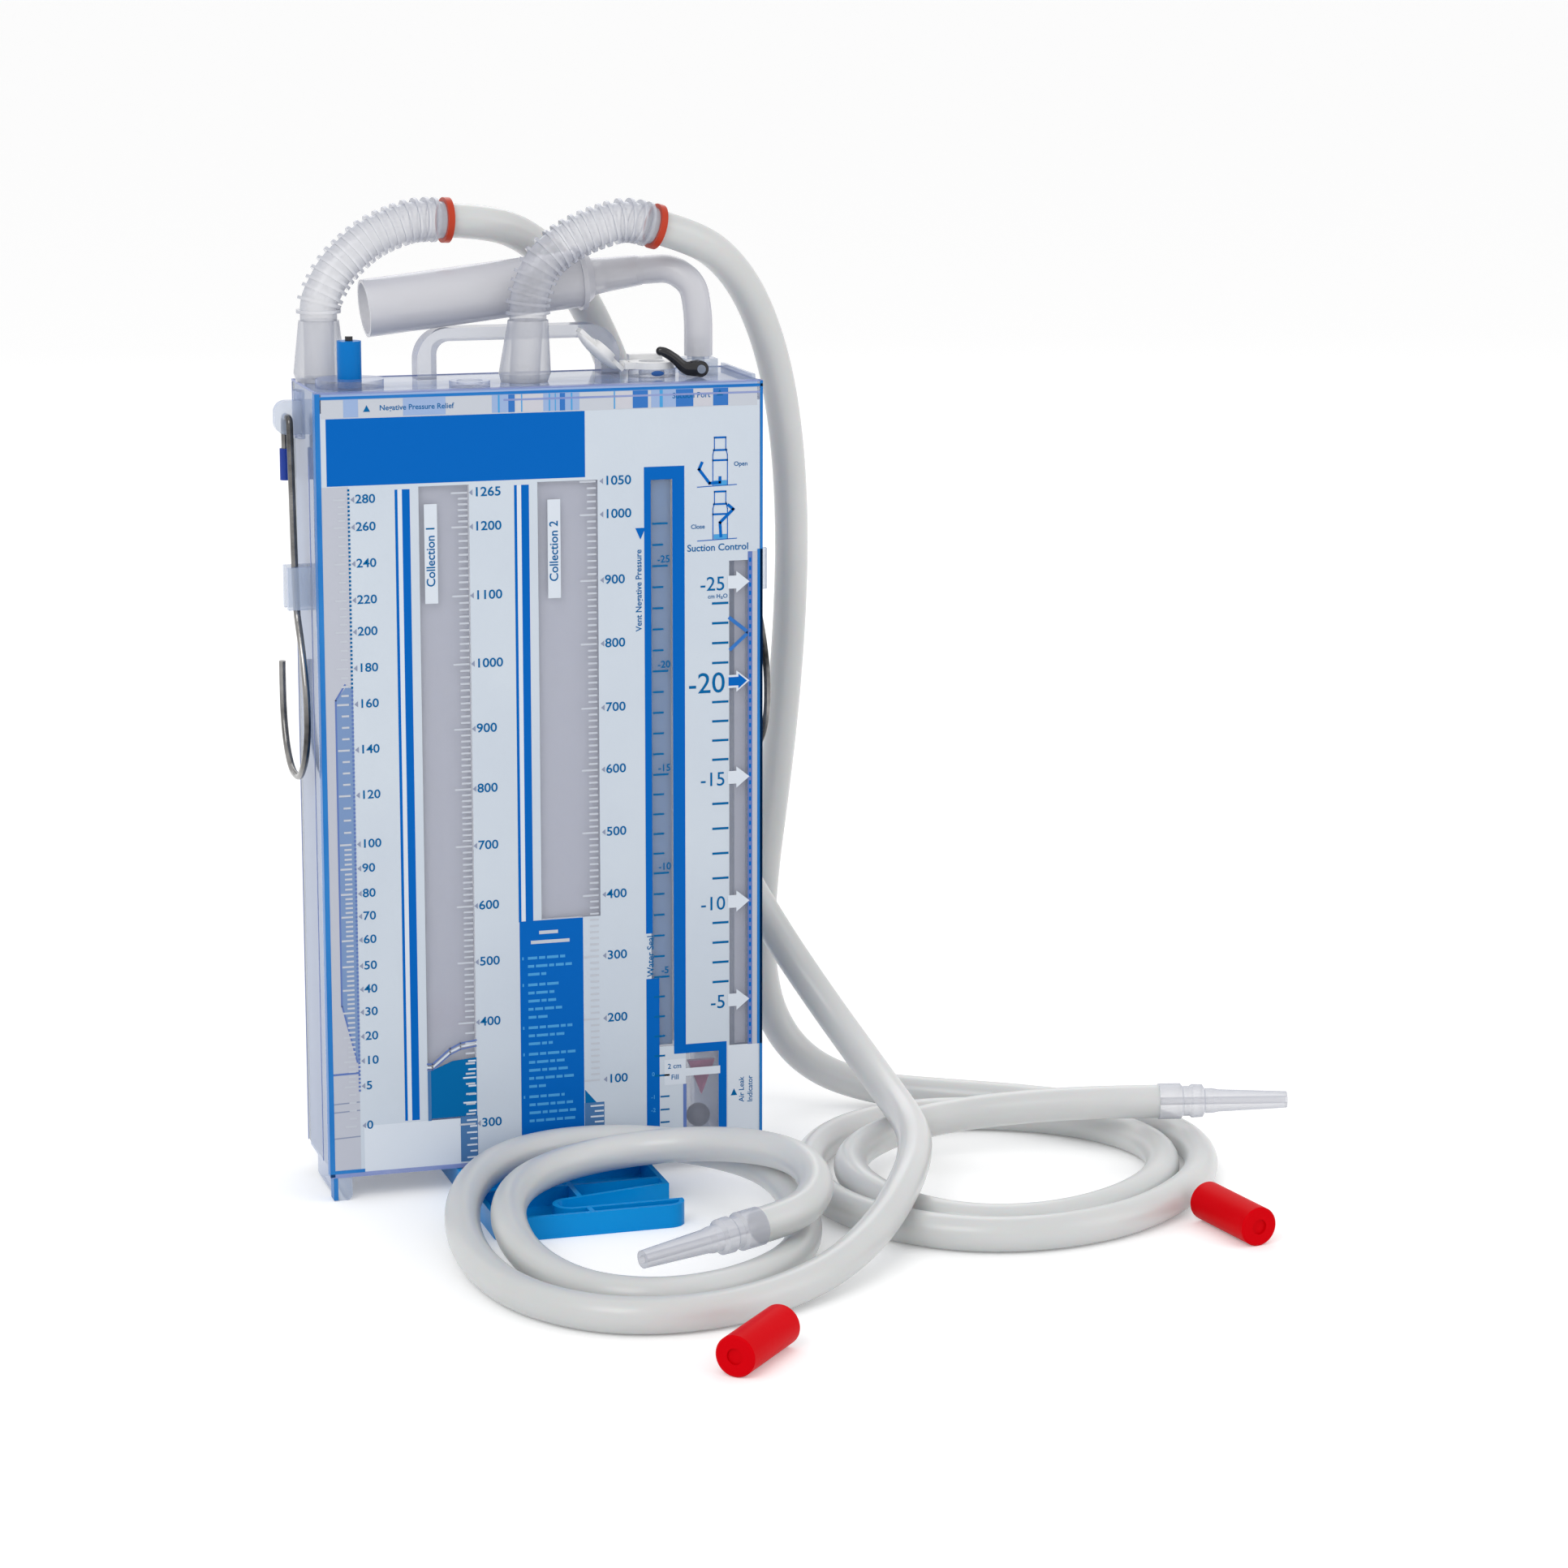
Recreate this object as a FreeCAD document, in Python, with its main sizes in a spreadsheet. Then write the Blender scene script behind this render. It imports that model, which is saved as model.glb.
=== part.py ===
"""Chest drainage unit: a clear two-chamber box with ports, swivel stand, bed hooks and two tubes.

Millimetres, +Z up, front of the box towards -Y. The origin is on the floor, under the stand's pivot.
"""
import FreeCAD
import Part
import math
import os
import re

Vector = FreeCAD.Vector

SIZES = {
    # Housing
    "body_width": 208,
    "body_depth": 64,
    "body_height": 364,
    "foot_height": 11,
    "foot_width": 8.5,
    "foot_length": 40.6,
    "foot_round": 3,
    "wall": 2.5,
    "corner_round": 6,
    "panel_thick": 3,
    "label_thick": 0.25,
    "label_margin": 1.3,
    "flange_depth": 5,
    "flange_step": 1.5,
    "rib_thick": 2,
    "first_divider_inset": 38.5,
    "second_divider_inset": 95,
    "seal_divider_inset": 56,
    "suction_divider_inset": 38.5,
    "leak_divider_inset": 17,
    "leak_roof": 61.5,
    "dip_inset": 6.3,
    "dip_gap": 20,
    "overflow_gap": 26,
    "rim_height": 2.4,
    "rim_thick": 1.6,
    "rim_back_run": 34,
    "rim_side_run": 52,
    "port_clear": 1,
    # Windows and water-seal frame on the label
    "label_top_gap": 8.7,
    "window_low": 35,
    "window_top_gap": 43,
    "window_offset": 7.7,
    "window_wide": 23.3,
    "middle_window_offset": 6.3,
    "middle_window_wide": 28.2,
    "middle_window_low": 127.5,
    "seal_window_offset": 2,
    "seal_window_wide": 10.8,
    "seal_window_low": 62,
    "leak_window_offset": 1.1,
    "leak_window_low": 17.7,
    "leak_window_wide": 16,
    "leak_window_tall": 40.3,
    "edge_window_offset": 1,
    "edge_window_wide": 14.4,
    "edge_window_low": 60,
    "edge_window_top_gap": 83,
    # Leak indicator
    "wedge_offset": 3.1,
    "wedge_wide": 13.2,
    "wedge_top": 53,
    "wedge_drop": 16.7,
    "wedge_thick": 3,
    "ball_size": 11.2,
    "ball_offset": 9.8,
    "ball_height": 24.3,
    "ball_setback": 6.6,
    "ball_gap": 0.1,
    "seat_size": 6,
    # Carrying handle
    "handle_width": 96,
    "handle_front": 12,
    "handle_depth": 12,
    "handle_rise": 23.5,
    "handle_bar": 6,
    "handle_leg": 9,
    "handle_round": 15,
    # Inlet cones
    "cone_height": 28,
    "cone_base_size": 24,
    "cone_top_size": 18.6,
    "cone_wall": 2.3,
    "cone_skirt": 4,
    "cone_skirt_step": 1.2,
    "left_cone_inset": 12,
    "left_cone_back": 19,
    "middle_cone_across": 0,
    "middle_cone_back": -6,
    "middle_cone_lean": 2,
    # Ridged sleeves and rings
    "sleeve_size": 17,
    "sleeve_ridge": 20.5,
    "sleeve_ridge_width": 1.5,
    "sleeve_pitch": 4.1,
    "ring_size": 20.8,
    "ring_width": 3,
    "ring_gap": 0.15,
    "sleeve_grip": 14,
    # Patient tubes, connectors and caps
    "tube_size": 16,
    "connector_length": 62,
    "connector_barrel": 17.2,
    "connector_tip": 8,
    "connector_bore": 3.6,
    "cap_size": 18,
    "cap_length": 44,
    "cap_wall": 1.6,
    "cap_end": 6,
    "cap_dimple": 7,
    # Relief valve
    "relief_inset": 20.5,
    "relief_back": -8,
    "collar_size": 31,
    "collar_height": 4,
    "button_size": 11,
    "button_top": 21,
    "button_sink": 1,
    "slide_gap": 0.05,
    "pin_size": 3.5,
    "pin_height": 2,
    # Low plug
    "plug_inset": 73,
    "plug_back": -21,
    "plug_size": 18.6,
    "plug_height": 3,
    "plug_dimple": 12,
    # Suction port
    "stem_inset": 21.5,
    "stem_back": 0,
    "stem_size": 10.4,
    "stem_height": 18,
    "stem_bore": 6,
    "valve_width": 15,
    "valve_depth": 14,
    "valve_height": 8,
    "filler_size": 13.2,
    "filler_gap": 0.1,
    "filler_cover": 9,
    "filler_grip": 4.8,
    "filler_lead": 12,
    "lever_across": -2.5,
    "lever_rise": 4,
    "lever_hub": 7.5,
    "lever_thick": 6,
    "lever_reach": 18.5,
    "lever_lift": 8.5,
    "lever_arm": 3.4,
    "lever_pin": 4,
    "lever_pin_stub": 1.6,
    "lever_side_gap": 0.3,
    "hinge_gap": 0.05,
    # Syringe barrel
    "barrel_size": 26.6,
    "barrel_wall": 1.6,
    "barrel_length": 107,
    "barrel_across": -71,
    "barrel_tilt": 6.4,
    "barrel_seat_gap": 0.25,
    "barrel_tip_size": 9.8,
    "barrel_tip_length": 12,
    "barrel_shoulder": 4,
    "barrel_flange": 1.4,
    "barrel_flange_width": 2.2,
    # Vent
    "vent_inset": 44,
    "vent_back": 0,
    "vent_size": 22,
    "vent_hole": 12,
    "vent_ring_height": 4,
    "vent_seat_height": 3,
    "vent_block_width": 16,
    "vent_block_depth": 5,
    "vent_block_height": 5,
    "lid_size": 14,
    "lid_thick": 2,
    "lid_rim": 1.4,
    "lid_tab": 8,
    "lid_tab_width": 7,
    "lid_open": 137,
    "lid_knuckle": 3,
    "lid_pin": 1.2,
    "ear_thick": 1.8,
    "ear_gap": 0.2,
    "ear_run": 4,
    # Floor stand
    "stand_width": 89,
    "stand_length": 230,
    "stand_gap": 0.3,
    "stand_round": 8,
    "stand_wall": 2.4,
    "stand_floor": 2,
    "stand_bar": 10.2,
    "notch_apex": -12.5,
    "notch_mouth": 22.8,
    "notch_end": 12,
    "pivot_size": 12,
    "pivot_boss": 24,
    "pivot_head": 20,
    "pivot_head_thick": 1.6,
    "pivot_recess": 2.4,
    # Bed hooks
    "wire_size": 3.2,
    "hook_standoff": 5,
    "hook_hinge_drop": 15,
    "hook_cap_size": 5,
    "hook_cap_length": 14.5,
    "hook_cap_drop": 15,
    "hook_pocket": 8,
    "hook_arm": 4,
    "hook_bend": 3,
    "lug_front": 9,
    "lug_thick": 5,
    "lug_height": 15.5,
    "lug_reach": 6,
    "lug_round": 5.5,
    "clip_height": 19.5,
    "clip_drop": 101,
    "clip_thick": 3,
    "clip_gap": 6.6,
    "clip_centre": -1.6,
    "clip_reach": 4.6,
}

# Routes of the two patient tubes, from the sleeve's end to the connector.
LEFT_ROUTE = [
    (-33, 23, 447), (-12, 25, 446), (8, 32, 439), (29, 42, 422), (47, 49, 394), (62, 52, 357),
    (73, 51, 313), (82, 49, 265), (89, 47, 217), (98, 46, 172), (112, 43, 132), (130, 33, 98),
    (147, 14, 68), (159, -13, 46), (164, -47, 33), (162, -85, 29), (151, -123, 28), (133, -161, 26),
    (109, -196, 18), (77, -227, 11), (40, -248, 8.4), (3, -256, 8.2), (-31, -246, 8.2), (-55, -216, 8.2),
    (-65, -176, 8.6), (-65, -133, 12), (-55, -93, 18), (-34, -60, 21), (-3, -42, 21.4), (33, -44, 21.4),
    (65, -66, 21.6), (87, -100, 20.4), (91, -135, 14), (84, -170, 8.8), (65, -203, 8.2), (33, -226, 8.2),
    (-2, -231, 8.2), (-31, -212, 8.8), (-46, -176, 12.5), (-46, -136, 19), (-32, -100, 21.5),
    (-6, -76, 22.5), (26, -70, 24.8), (56, -82, 29), (77, -106, 33), (90, -129, 34), (93, -152, 32),
    (87, -174, 29), (72, -191, 26), (53, -198, 25),
]
RIGHT_ROUTE = [
    (59.4, -5, 444.6), (80, -2.5, 439), (100, 9, 426), (116, 23, 404), (128.5, 35, 373),
    (136.5, 44, 336), (141, 51, 294), (142, 57.5, 250), (141, 62, 204), (138, 66, 159), (134.5, 70, 116),
    (133.5, 73, 76), (140, 72, 42), (157, 63, 19), (185, 48, 9), (218, 30, 8.2), (251, 10, 8.2),
    (281, -15, 8.2), (301, -48, 8.2), (305, -87, 8.2), (292, -127, 8.2), (265, -161, 8.2), (230, -186, 8.2),
    (191, -195, 8.2), (156, -188, 8.2), (128, -165, 8.2), (112, -133, 8.2), (109, -97, 8.2),
    (117, -62, 8.2), (133.5, -32, 8.2), (158, -10, 8.2), (189, 0, 8.2), (223, -5, 8.2), (255, -23, 8.2),
    (278, -50, 8.2), (286, -84, 8.2), (276, -119, 8.2), (253, -149, 8.2), (221, -170, 8.2),
    (188, -177, 8.2), (158, -168, 8.4), (137, -145, 9.5), (127.6, -114, 11.2), (130.5, -83, 12.4),
    (145.5, -59.5, 14), (170, -45.5, 17), (200, -46, 21), (231, -56, 25), (261, -67, 27.5),
    (290, -74, 27.5),
]
# Sleeve centre lines as steps from the top of their cones, the last where the sleeve meets its ring.
LEFT_SLEEVE = [(0, 0, 0), (0, 0, 8.2), (7.5, 1, 22.5), (24.5, 2, 37.5), (59, 4, 44)]
RIGHT_SLEEVE = [(0, 0, 0), (0, 0, 9), (6.3, 0, 27), (24.5, 0, 39), (59.4, 1, 41.6)]
# Bed hook wire below its hinge, as (back, down) from the hinge line.
HOOK_SHANK = [
    (0, 63), (-3, 88), (-10, 97), (-19, 111), (-24, 125), (-24, 141), (-17, 154), (-2, 165.5),
    (17.6, 165.5), (30, 157), (37, 142), (37.7, 126), (37.3, 117),
]
# Filler tube's bend: shares of the way from the stem to the barrel's tip, across and back, and the rise.
FILLER_BEND = [(0, 0, 10), (0.05, 0.08, 24), (0.27, 0.38, 31)]

document = FreeCAD.newDocument("DrainageUnit")
sheet = document.addObject("Spreadsheet::Sheet", "Sizes")
for row, (word, number) in enumerate(SIZES.items(), start=1):
    sheet.set(f"A{row}", word)
    sheet.set(f"B{row}", str(number))
    sheet.setAlias(f"B{row}", word)
document.recompute()


def size(word):
    """One value of the sheet as a number."""
    return float(getattr(sheet, word))


def bind(item, prop, formula):
    """Tie a property to a formula written in the sheet's aliases."""
    item.setExpression(prop, re.sub(r"[a-z]\w+", lambda word: "Sizes." + word.group(), str(formula)))


def place(item, x, y, z):
    bind(item, "Placement.Base.x", x)
    bind(item, "Placement.Base.y", y)
    bind(item, "Placement.Base.z", z)
    return item


def box(name, length, width, height, x, y, z):
    item = document.addObject("Part::Box", name)
    bind(item, "Length", length)
    bind(item, "Width", width)
    bind(item, "Height", height)
    return place(item, x, y, z)


def cylinder(name, across, height, x, y, z, turn=None):
    item = document.addObject("Part::Cylinder", name)
    bind(item, "Radius", f"({across}) / 2")
    bind(item, "Height", height)
    if turn is not None:
        item.Placement = FreeCAD.Placement(Vector(), turn)
    return place(item, x, y, z)


def fuse(name, pieces):
    item = document.addObject("Part::MultiFuse", name)
    item.Shapes = pieces
    return item


def cut(name, base, tool):
    item = document.addObject("Part::Cut", name)
    item.Base = base
    item.Tool = tool
    return item


def fillet(name, base, radius, wanted):
    """Round the edges of base that wanted() picks."""
    document.recompute()
    item = document.addObject("Part::Fillet", name)
    item.Base = base
    chosen = [number for number, edge in enumerate(base.Shape.Edges, start=1) if wanted(edge)]
    item.Edges = [(number, radius, radius) for number in chosen]
    return item


def shape(name, solid):
    """A sub-part whose form comes from the sheet's numbers through solid geometry."""
    item = document.addObject("Part::Feature", name)
    item.Shape = solid
    return item


def upright(edge):
    low, high = edge.BoundBox.ZMin, edge.BoundBox.ZMax
    return high - low > 0.9 * edge.Length


def along_depth(edge):
    return edge.BoundBox.YMax - edge.BoundBox.YMin > 0.9 * edge.Length


to_back = FreeCAD.Rotation(Vector(1, 0, 0), -90)
to_front = FreeCAD.Rotation(Vector(1, 0, 0), 90)
deck = "(foot_height + body_height)"
face = "(-body_depth / 2)"
left_side = "(-body_width / 2)"
right_side = "(body_width / 2)"
first_divider = f"({left_side} + first_divider_inset)"
second_divider = f"({left_side} + second_divider_inset)"
seal_divider = f"({right_side} - seal_divider_inset)"
suction_divider = f"({right_side} - suction_divider_inset)"
leak_divider = f"({right_side} - leak_divider_inset)"
stem_across = f"({right_side} - stem_inset)"
vent_across = f"({right_side} - vent_inset)"


def deck_level():
    return size("foot_height") + size("body_height")


def rounded_path(points, tight_bends=0, tight_radius=0):
    """Straight runs joined by tangent arcs: the first few of one radius, the rest as large as fits."""
    knots = [Vector(*point) for point in points]
    edges = []
    radii = []
    last = knots[0]
    for before, here, after in zip(knots, knots[1:], knots[2:]):
        into = here - before
        out = after - here
        half_turn = into.getAngle(out) / 2
        if len(radii) < tight_bends:
            reach = tight_radius * math.tan(half_turn)
        else:
            reach = 0.45 * min(into.Length, out.Length)
        into.normalize()
        out.normalize()
        start = here - into * reach
        end = here + out * reach
        chord = (out - into).normalize()
        radius = reach / math.tan(half_turn)
        middle = here + chord * (radius / math.cos(half_turn) - radius)
        edges.append(Part.LineSegment(last, start).toShape())
        edges.append(Part.Arc(start, middle, end).toShape())
        radii.append(radius)
        last = end
    edges.append(Part.LineSegment(last, knots[-1]).toShape())
    return Part.Wire(edges), radii


def sweep(path, points, across):
    """A round solid along a path."""
    start = Vector(*points[0])
    ring = Part.Circle(start, Vector(*points[1]) - start, across / 2).toShape()
    return Part.Wire(path.Edges).makePipeShell([Part.Wire([ring])], True, False)


def revolved(profile):
    """Turn a closed (radius, height) outline about the Z axis."""
    corners = [Vector(radius, 0, height) for radius, height in profile]
    outline = Part.Face(Part.makePolygon(corners + corners[:1]))
    return outline.revolve(Vector(), Vector(0, 0, 1), 360)


def aim(solid, start, direction):
    """Move a solid built up the Z axis so that it starts at a point and runs along a direction."""
    solid.Placement = FreeCAD.Placement(start, FreeCAD.Rotation(Vector(0, 0, 1), direction))
    return solid


def hook_edge(side):
    return f"({side} * (body_width / 2 + hook_standoff))"


def bracket(name, side, inner, reach, thick, height, near, low):
    """A block that stands out from one side of the tub, past the hook wire."""
    length = f"hook_standoff + flange_step + {reach}"
    outermost = f"{inner} - ({length})" if side < 0 else inner
    return box(name, length, thick, height, outermost, near, low)


def make_housing():
    """Rear tub with dividers, feet, hook lugs and clips, open to the front."""
    outer = box("TubBlock", "body_width - 2 * flange_step", "body_depth - panel_thick", "body_height",
                "flange_step - body_width / 2", f"{face} + panel_thick", "foot_height")
    back = size("body_depth") / 2
    outer = fillet("TubRounded", outer, size("corner_round"),
                   lambda edge: upright(edge) and edge.BoundBox.YMin > back - 1)
    flange = box("TubFlange", "body_width", "flange_depth", "body_height",
                 "-body_width / 2", f"{face} + panel_thick", "foot_height")
    hollow = box("TubHollow", "body_width - 2 * flange_step - 2 * wall", "body_depth - panel_thick - wall",
                 "body_height - 2 * wall", "flange_step + wall - body_width / 2", f"{face} + panel_thick",
                 "foot_height + wall")
    hollow = fillet("HollowRounded", hollow, size("corner_round") - size("wall"),
                    lambda edge: upright(edge) and edge.BoundBox.YMin > 0)
    tub = cut("TubShell", fuse("TubOuter", [outer, flange]), hollow)
    floor_level = "foot_height + wall"
    depth = "body_depth - panel_thick - wall"
    front = f"{face} + panel_thick"
    pieces = [tub]
    for name, across, low, tall in (
        ("FirstDivider", first_divider, floor_level, "body_height - wall - overflow_gap"),
        ("SecondDivider", second_divider, floor_level, "body_height - wall - overflow_gap"),
        ("SealDivider", seal_divider, floor_level, "body_height - 2 * wall"),
        ("SuctionDivider", suction_divider, "leak_roof", f"{deck} - wall - leak_roof"),
        ("LeakDivider", leak_divider, floor_level, "leak_roof - foot_height - wall"),
        ("DipRib", f"{right_side} - dip_inset", f"{floor_level} + dip_gap",
         "body_height - edge_window_top_gap - wall - dip_gap"),
    ):
        pieces.append(box(name, "rib_thick", depth, tall, f"{across} - rib_thick / 2", front, low))
    pieces.append(box("LeakRoof", "suction_divider_inset - leak_divider_inset + rib_thick", depth,
                      "rib_thick", f"{suction_divider} - rib_thick / 2", front, "leak_roof - rib_thick / 2"))
    pieces.append(cylinder("BallSeat", "seat_size", "ball_height - ball_size / 2 - foot_height - wall",
                           f"{suction_divider} + ball_offset", f"{front} + ball_setback", floor_level))
    for name, left, near in (("FrontFoot", f"{left_side} + flange_step", face),
                             ("RearFoot", f"{right_side} - flange_step - foot_width",
                              "body_depth / 2 - foot_length")):
        foot = box(name, "foot_width", "foot_length", "foot_height", left, near, "0")
        pieces.append(fillet(name + "Rounded", foot, size("foot_round"),
                             lambda edge: along_depth(edge) and edge.BoundBox.ZMax < 1))
    pieces.append(box("RightRim", "rim_thick", "rim_side_run", "rim_height",
                      f"{right_side} - flange_step - rim_thick",
                      "body_depth / 2 - corner_round - rim_side_run", deck))
    pieces.append(box("BackRim", "rim_back_run", "rim_thick", "rim_height",
                      f"{right_side} - flange_step - corner_round - rim_back_run",
                      "body_depth / 2 - rim_thick", deck))
    for side, word in ((-1, "Left"), (1, "Right")):
        inner = f"{left_side} + flange_step" if side < 0 else f"{right_side} - flange_step"
        lug = bracket(word + "Lug", side, inner, "lug_reach", "lug_thick", "lug_height", "lug_front",
                      f"{deck} - hook_hinge_drop - lug_height / 2")
        pieces.append(fillet(word + "LugRounded", lug, size("lug_round"),
                             lambda edge, side=side: along_depth(edge)
                             and side * edge.BoundBox.Center.x > size("body_width") / 2))
        for part, near in (("Front", "clip_centre - clip_gap / 2 - clip_thick"),
                           ("Rear", "clip_centre + clip_gap / 2")):
            pieces.append(bracket(word + part + "Clip", side, inner, "clip_reach", "clip_thick",
                                  "clip_height", near, f"{deck} - clip_drop"))
    inlet_bore = "cone_top_size - 2 * cone_wall"
    through = "wall + 2 * port_clear"
    below_deck = f"{deck} - wall - port_clear"
    drills = [
        cylinder("ButtonHole", "button_size + 2 * slide_gap", through, f"{left_side} + relief_inset",
                 "relief_back", below_deck),
        cylinder("LeftInlet", inlet_bore, through, f"{left_side} + left_cone_inset", "left_cone_back",
                 below_deck),
        cylinder("MiddleInlet", inlet_bore, through, "middle_cone_across - middle_cone_lean",
                 "middle_cone_back", below_deck),
        cylinder("PivotHole", "pivot_size", through, "0", "0", "foot_height - port_clear"),
    ]
    for side, word in ((-1, "Left"), (1, "Right")):
        drills.append(cylinder(word + "LugHole", "wire_size + 2 * hinge_gap", "lug_thick + 2 * port_clear",
                               hook_edge(side), "lug_front - port_clear", f"{deck} - hook_hinge_drop",
                               to_back))
    return cut("chamber_body", fuse("HousingBlank", pieces), fuse("HousingDrills", drills))


def make_front():
    """Flat front panel and the printed scale label on it, with windows over the chambers."""
    box("front_panel", "body_width", "panel_thick", "body_height", left_side, face, "foot_height")
    through = f"{face} - label_thick"
    skin = box("LabelBlank", "body_width - 2 * label_margin", "label_thick",
               "body_height - label_margin - label_top_gap", f"{left_side} + label_margin", through,
               "foot_height + label_margin")
    window_top = f"{deck} - window_top_gap"
    windows = [
        box(name, wide, "label_thick", tall, left, through, low)
        for name, left, wide, low, tall in (
            ("LeftWindow", f"{first_divider} + window_offset", "window_wide", "window_low",
             f"{window_top} - window_low"),
            ("MiddleWindow", f"{second_divider} + middle_window_offset", "middle_window_wide",
             "middle_window_low", f"{window_top} - middle_window_low"),
            ("SealWindow", f"{seal_divider} + seal_window_offset", "seal_window_wide", "seal_window_low",
             f"{window_top} - seal_window_low"),
            ("LeakWindow", f"{suction_divider} + leak_window_offset", "leak_window_wide", "leak_window_low",
             "leak_window_tall"),
            ("EdgeWindow", f"{leak_divider} + edge_window_offset", "edge_window_wide", "edge_window_low",
             f"{deck} - edge_window_top_gap - edge_window_low"),
        )
    ]
    cut("scale_label", skin, fuse("LabelWindows", windows))


def make_leak_indicator():
    """Three-cornered coloured cell behind the panel, and the float ball under it."""
    left = size("body_width") / 2 - size("suction_divider_inset") + size("wedge_offset")
    top = size("wedge_top")
    near = size("panel_thick") - size("body_depth") / 2
    corners = [Vector(left, near, top), Vector(left + size("wedge_wide"), near, top),
               Vector(left + size("wedge_wide") / 2, near, top - size("wedge_drop"))]
    outline = Part.Face(Part.makePolygon(corners + corners[:1]))
    shape("leak_wedge", outline.extrude(Vector(0, size("wedge_thick"), 0)))
    ball = document.addObject("Part::Sphere", "float_ball")
    bind(ball, "Radius", "ball_size / 2")
    place(ball, f"{suction_divider} + ball_offset", f"{face} + panel_thick + ball_setback",
          "ball_height + ball_gap")


def make_handle():
    """Flat bail across the deck with rounded shoulders."""
    outer = box("HandleBlock", "handle_width", "handle_depth", "handle_rise",
                "-handle_width / 2", "handle_front", deck)
    top = deck_level() + size("handle_rise")
    outer = fillet("HandleRounded", outer, size("handle_round"),
                   lambda edge: along_depth(edge) and edge.BoundBox.ZMin > top - 1)
    gap = box("HandleGap", "handle_width - 2 * handle_leg", "handle_depth", "handle_rise - handle_bar",
              "handle_leg - handle_width / 2", "handle_front", deck)
    gap = fillet("HandleGapRounded", gap, size("handle_round") - size("handle_leg"),
                 lambda edge: along_depth(edge) and edge.BoundBox.ZMin > top - size("handle_bar") - 1)
    cut("carry_handle", outer, gap)


def inlet_cone(name, foot, top):
    """Hollow moulded cone with a narrower skirt where it meets the deck."""
    base, tip = size("cone_base_size") / 2, size("cone_top_size") / 2
    bore = tip - size("cone_wall")
    up = Vector(0, 0, 1)
    waist = foot + (top - foot) * (size("cone_skirt") / size("cone_height"))
    rings = [(foot, base - size("cone_skirt_step")), (waist, base), (top, tip)]
    outer = Part.makeLoft([Part.Wire([Part.Circle(at, up, r).toShape()]) for at, r in rings], True, True)
    inner = Part.makeLoft([Part.Wire([Part.Circle(at, up, bore).toShape()]) for at in (foot, top)],
                          True, True)
    return shape(name, outer.cut(inner))


def tube_direction(route):
    return (Vector(*route[1]) - Vector(*route[0])).normalize()


def ridged_sleeve(name, top, steps, route):
    """Flexible sleeve: a plain tube with even ridges, which ends in line with the tube that it holds."""
    points = [tuple(top + Vector(*step)) for step in steps]
    points.insert(-1, tuple(Vector(*points[-1]) - tube_direction(route) * size("sleeve_grip")))
    path, _ = rounded_path(points)
    solid = sweep(path, points, size("sleeve_size"))
    width, pitch = size("sleeve_ridge_width"), size("sleeve_pitch")
    count = int((path.Length - 2 * width) / pitch)
    margin = (path.Length - (count - 1) * pitch) / 2
    spots = path.discretize(Number=201)
    rings = []
    for index in range(count):
        along = (margin + index * pitch) / path.Length * 200
        step = int(along)
        here = spots[step] + (spots[step + 1] - spots[step]) * (along - step)
        way = (spots[step + 1] - spots[step]).normalize()
        rings.append(Part.makeCylinder(size("sleeve_ridge") / 2, width, here - way * (width / 2), way))
    return shape(name, solid.multiFuse(rings).removeSplitter())


def make_inlets():
    """Both cones with their sleeves and the coloured rings at the sleeves' ends."""
    left = Vector(size("left_cone_inset") - size("body_width") / 2, size("left_cone_back"), deck_level())
    middle = Vector(size("middle_cone_across"), size("middle_cone_back"), deck_level())
    lean = Vector(size("middle_cone_lean"), 0, 0)
    rise = Vector(0, 0, size("cone_height"))
    inlet_cone("inlet_cone_1", left, left + rise)
    inlet_cone("inlet_cone_2", middle - lean, middle + rise)
    bore = size("tube_size") / 2 + size("ring_gap")
    for number, foot, steps, route in ((1, left, LEFT_SLEEVE, LEFT_ROUTE),
                                       (2, middle, RIGHT_SLEEVE, RIGHT_ROUTE)):
        ridged_sleeve(f"spiral_sleeve_{number}", foot + rise, steps, route)
        start = foot + rise + Vector(*steps[-1])
        way = tube_direction(route)
        outer = Part.makeCylinder(size("ring_size") / 2, size("ring_width"), start, way)
        shape(f"retaining_ring_{number}", outer.cut(Part.makeCylinder(bore, size("ring_width"), start, way)))


def make_tubes():
    """Patient tubes along their routes, each with a stepped connector on its end."""
    length = size("connector_length")
    barrel, tip = size("connector_barrel") / 2, size("connector_tip") / 2
    bore = size("connector_bore") / 2
    shoulder, waist = barrel - 1.4, barrel - 2.6
    profile = [
        (bore, 0), (barrel, 0), (barrel, 0.17 * length), (shoulder, 0.19 * length),
        (shoulder, 0.24 * length), (barrel - 0.5, 0.26 * length), (barrel - 0.7, 0.34 * length),
        (waist, 0.36 * length), (waist, 0.42 * length), (tip + 1.4, 0.47 * length), (tip, length),
        (bore, length),
    ]
    for number, route in ((1, LEFT_ROUTE), (2, RIGHT_ROUTE)):
        path, radii = rounded_path(route)
        tube = sweep(path, route, size("tube_size"))
        section = math.pi * (size("tube_size") / 2) ** 2
        ratio = tube.Volume / section / path.Length
        print(f"tube {number}: length {path.Length:.1f}, volume ratio {ratio:.4f}")
        print(f"tube {number}: arc radii", " ".join(f"{radius:.0f}" for radius in radii))
        shape(f"patient_tube_{number}", tube)
        end = Vector(*route[-1])
        shape(f"tube_connector_{number}", aim(revolved(profile), end, end - Vector(*route[-2])))


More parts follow.
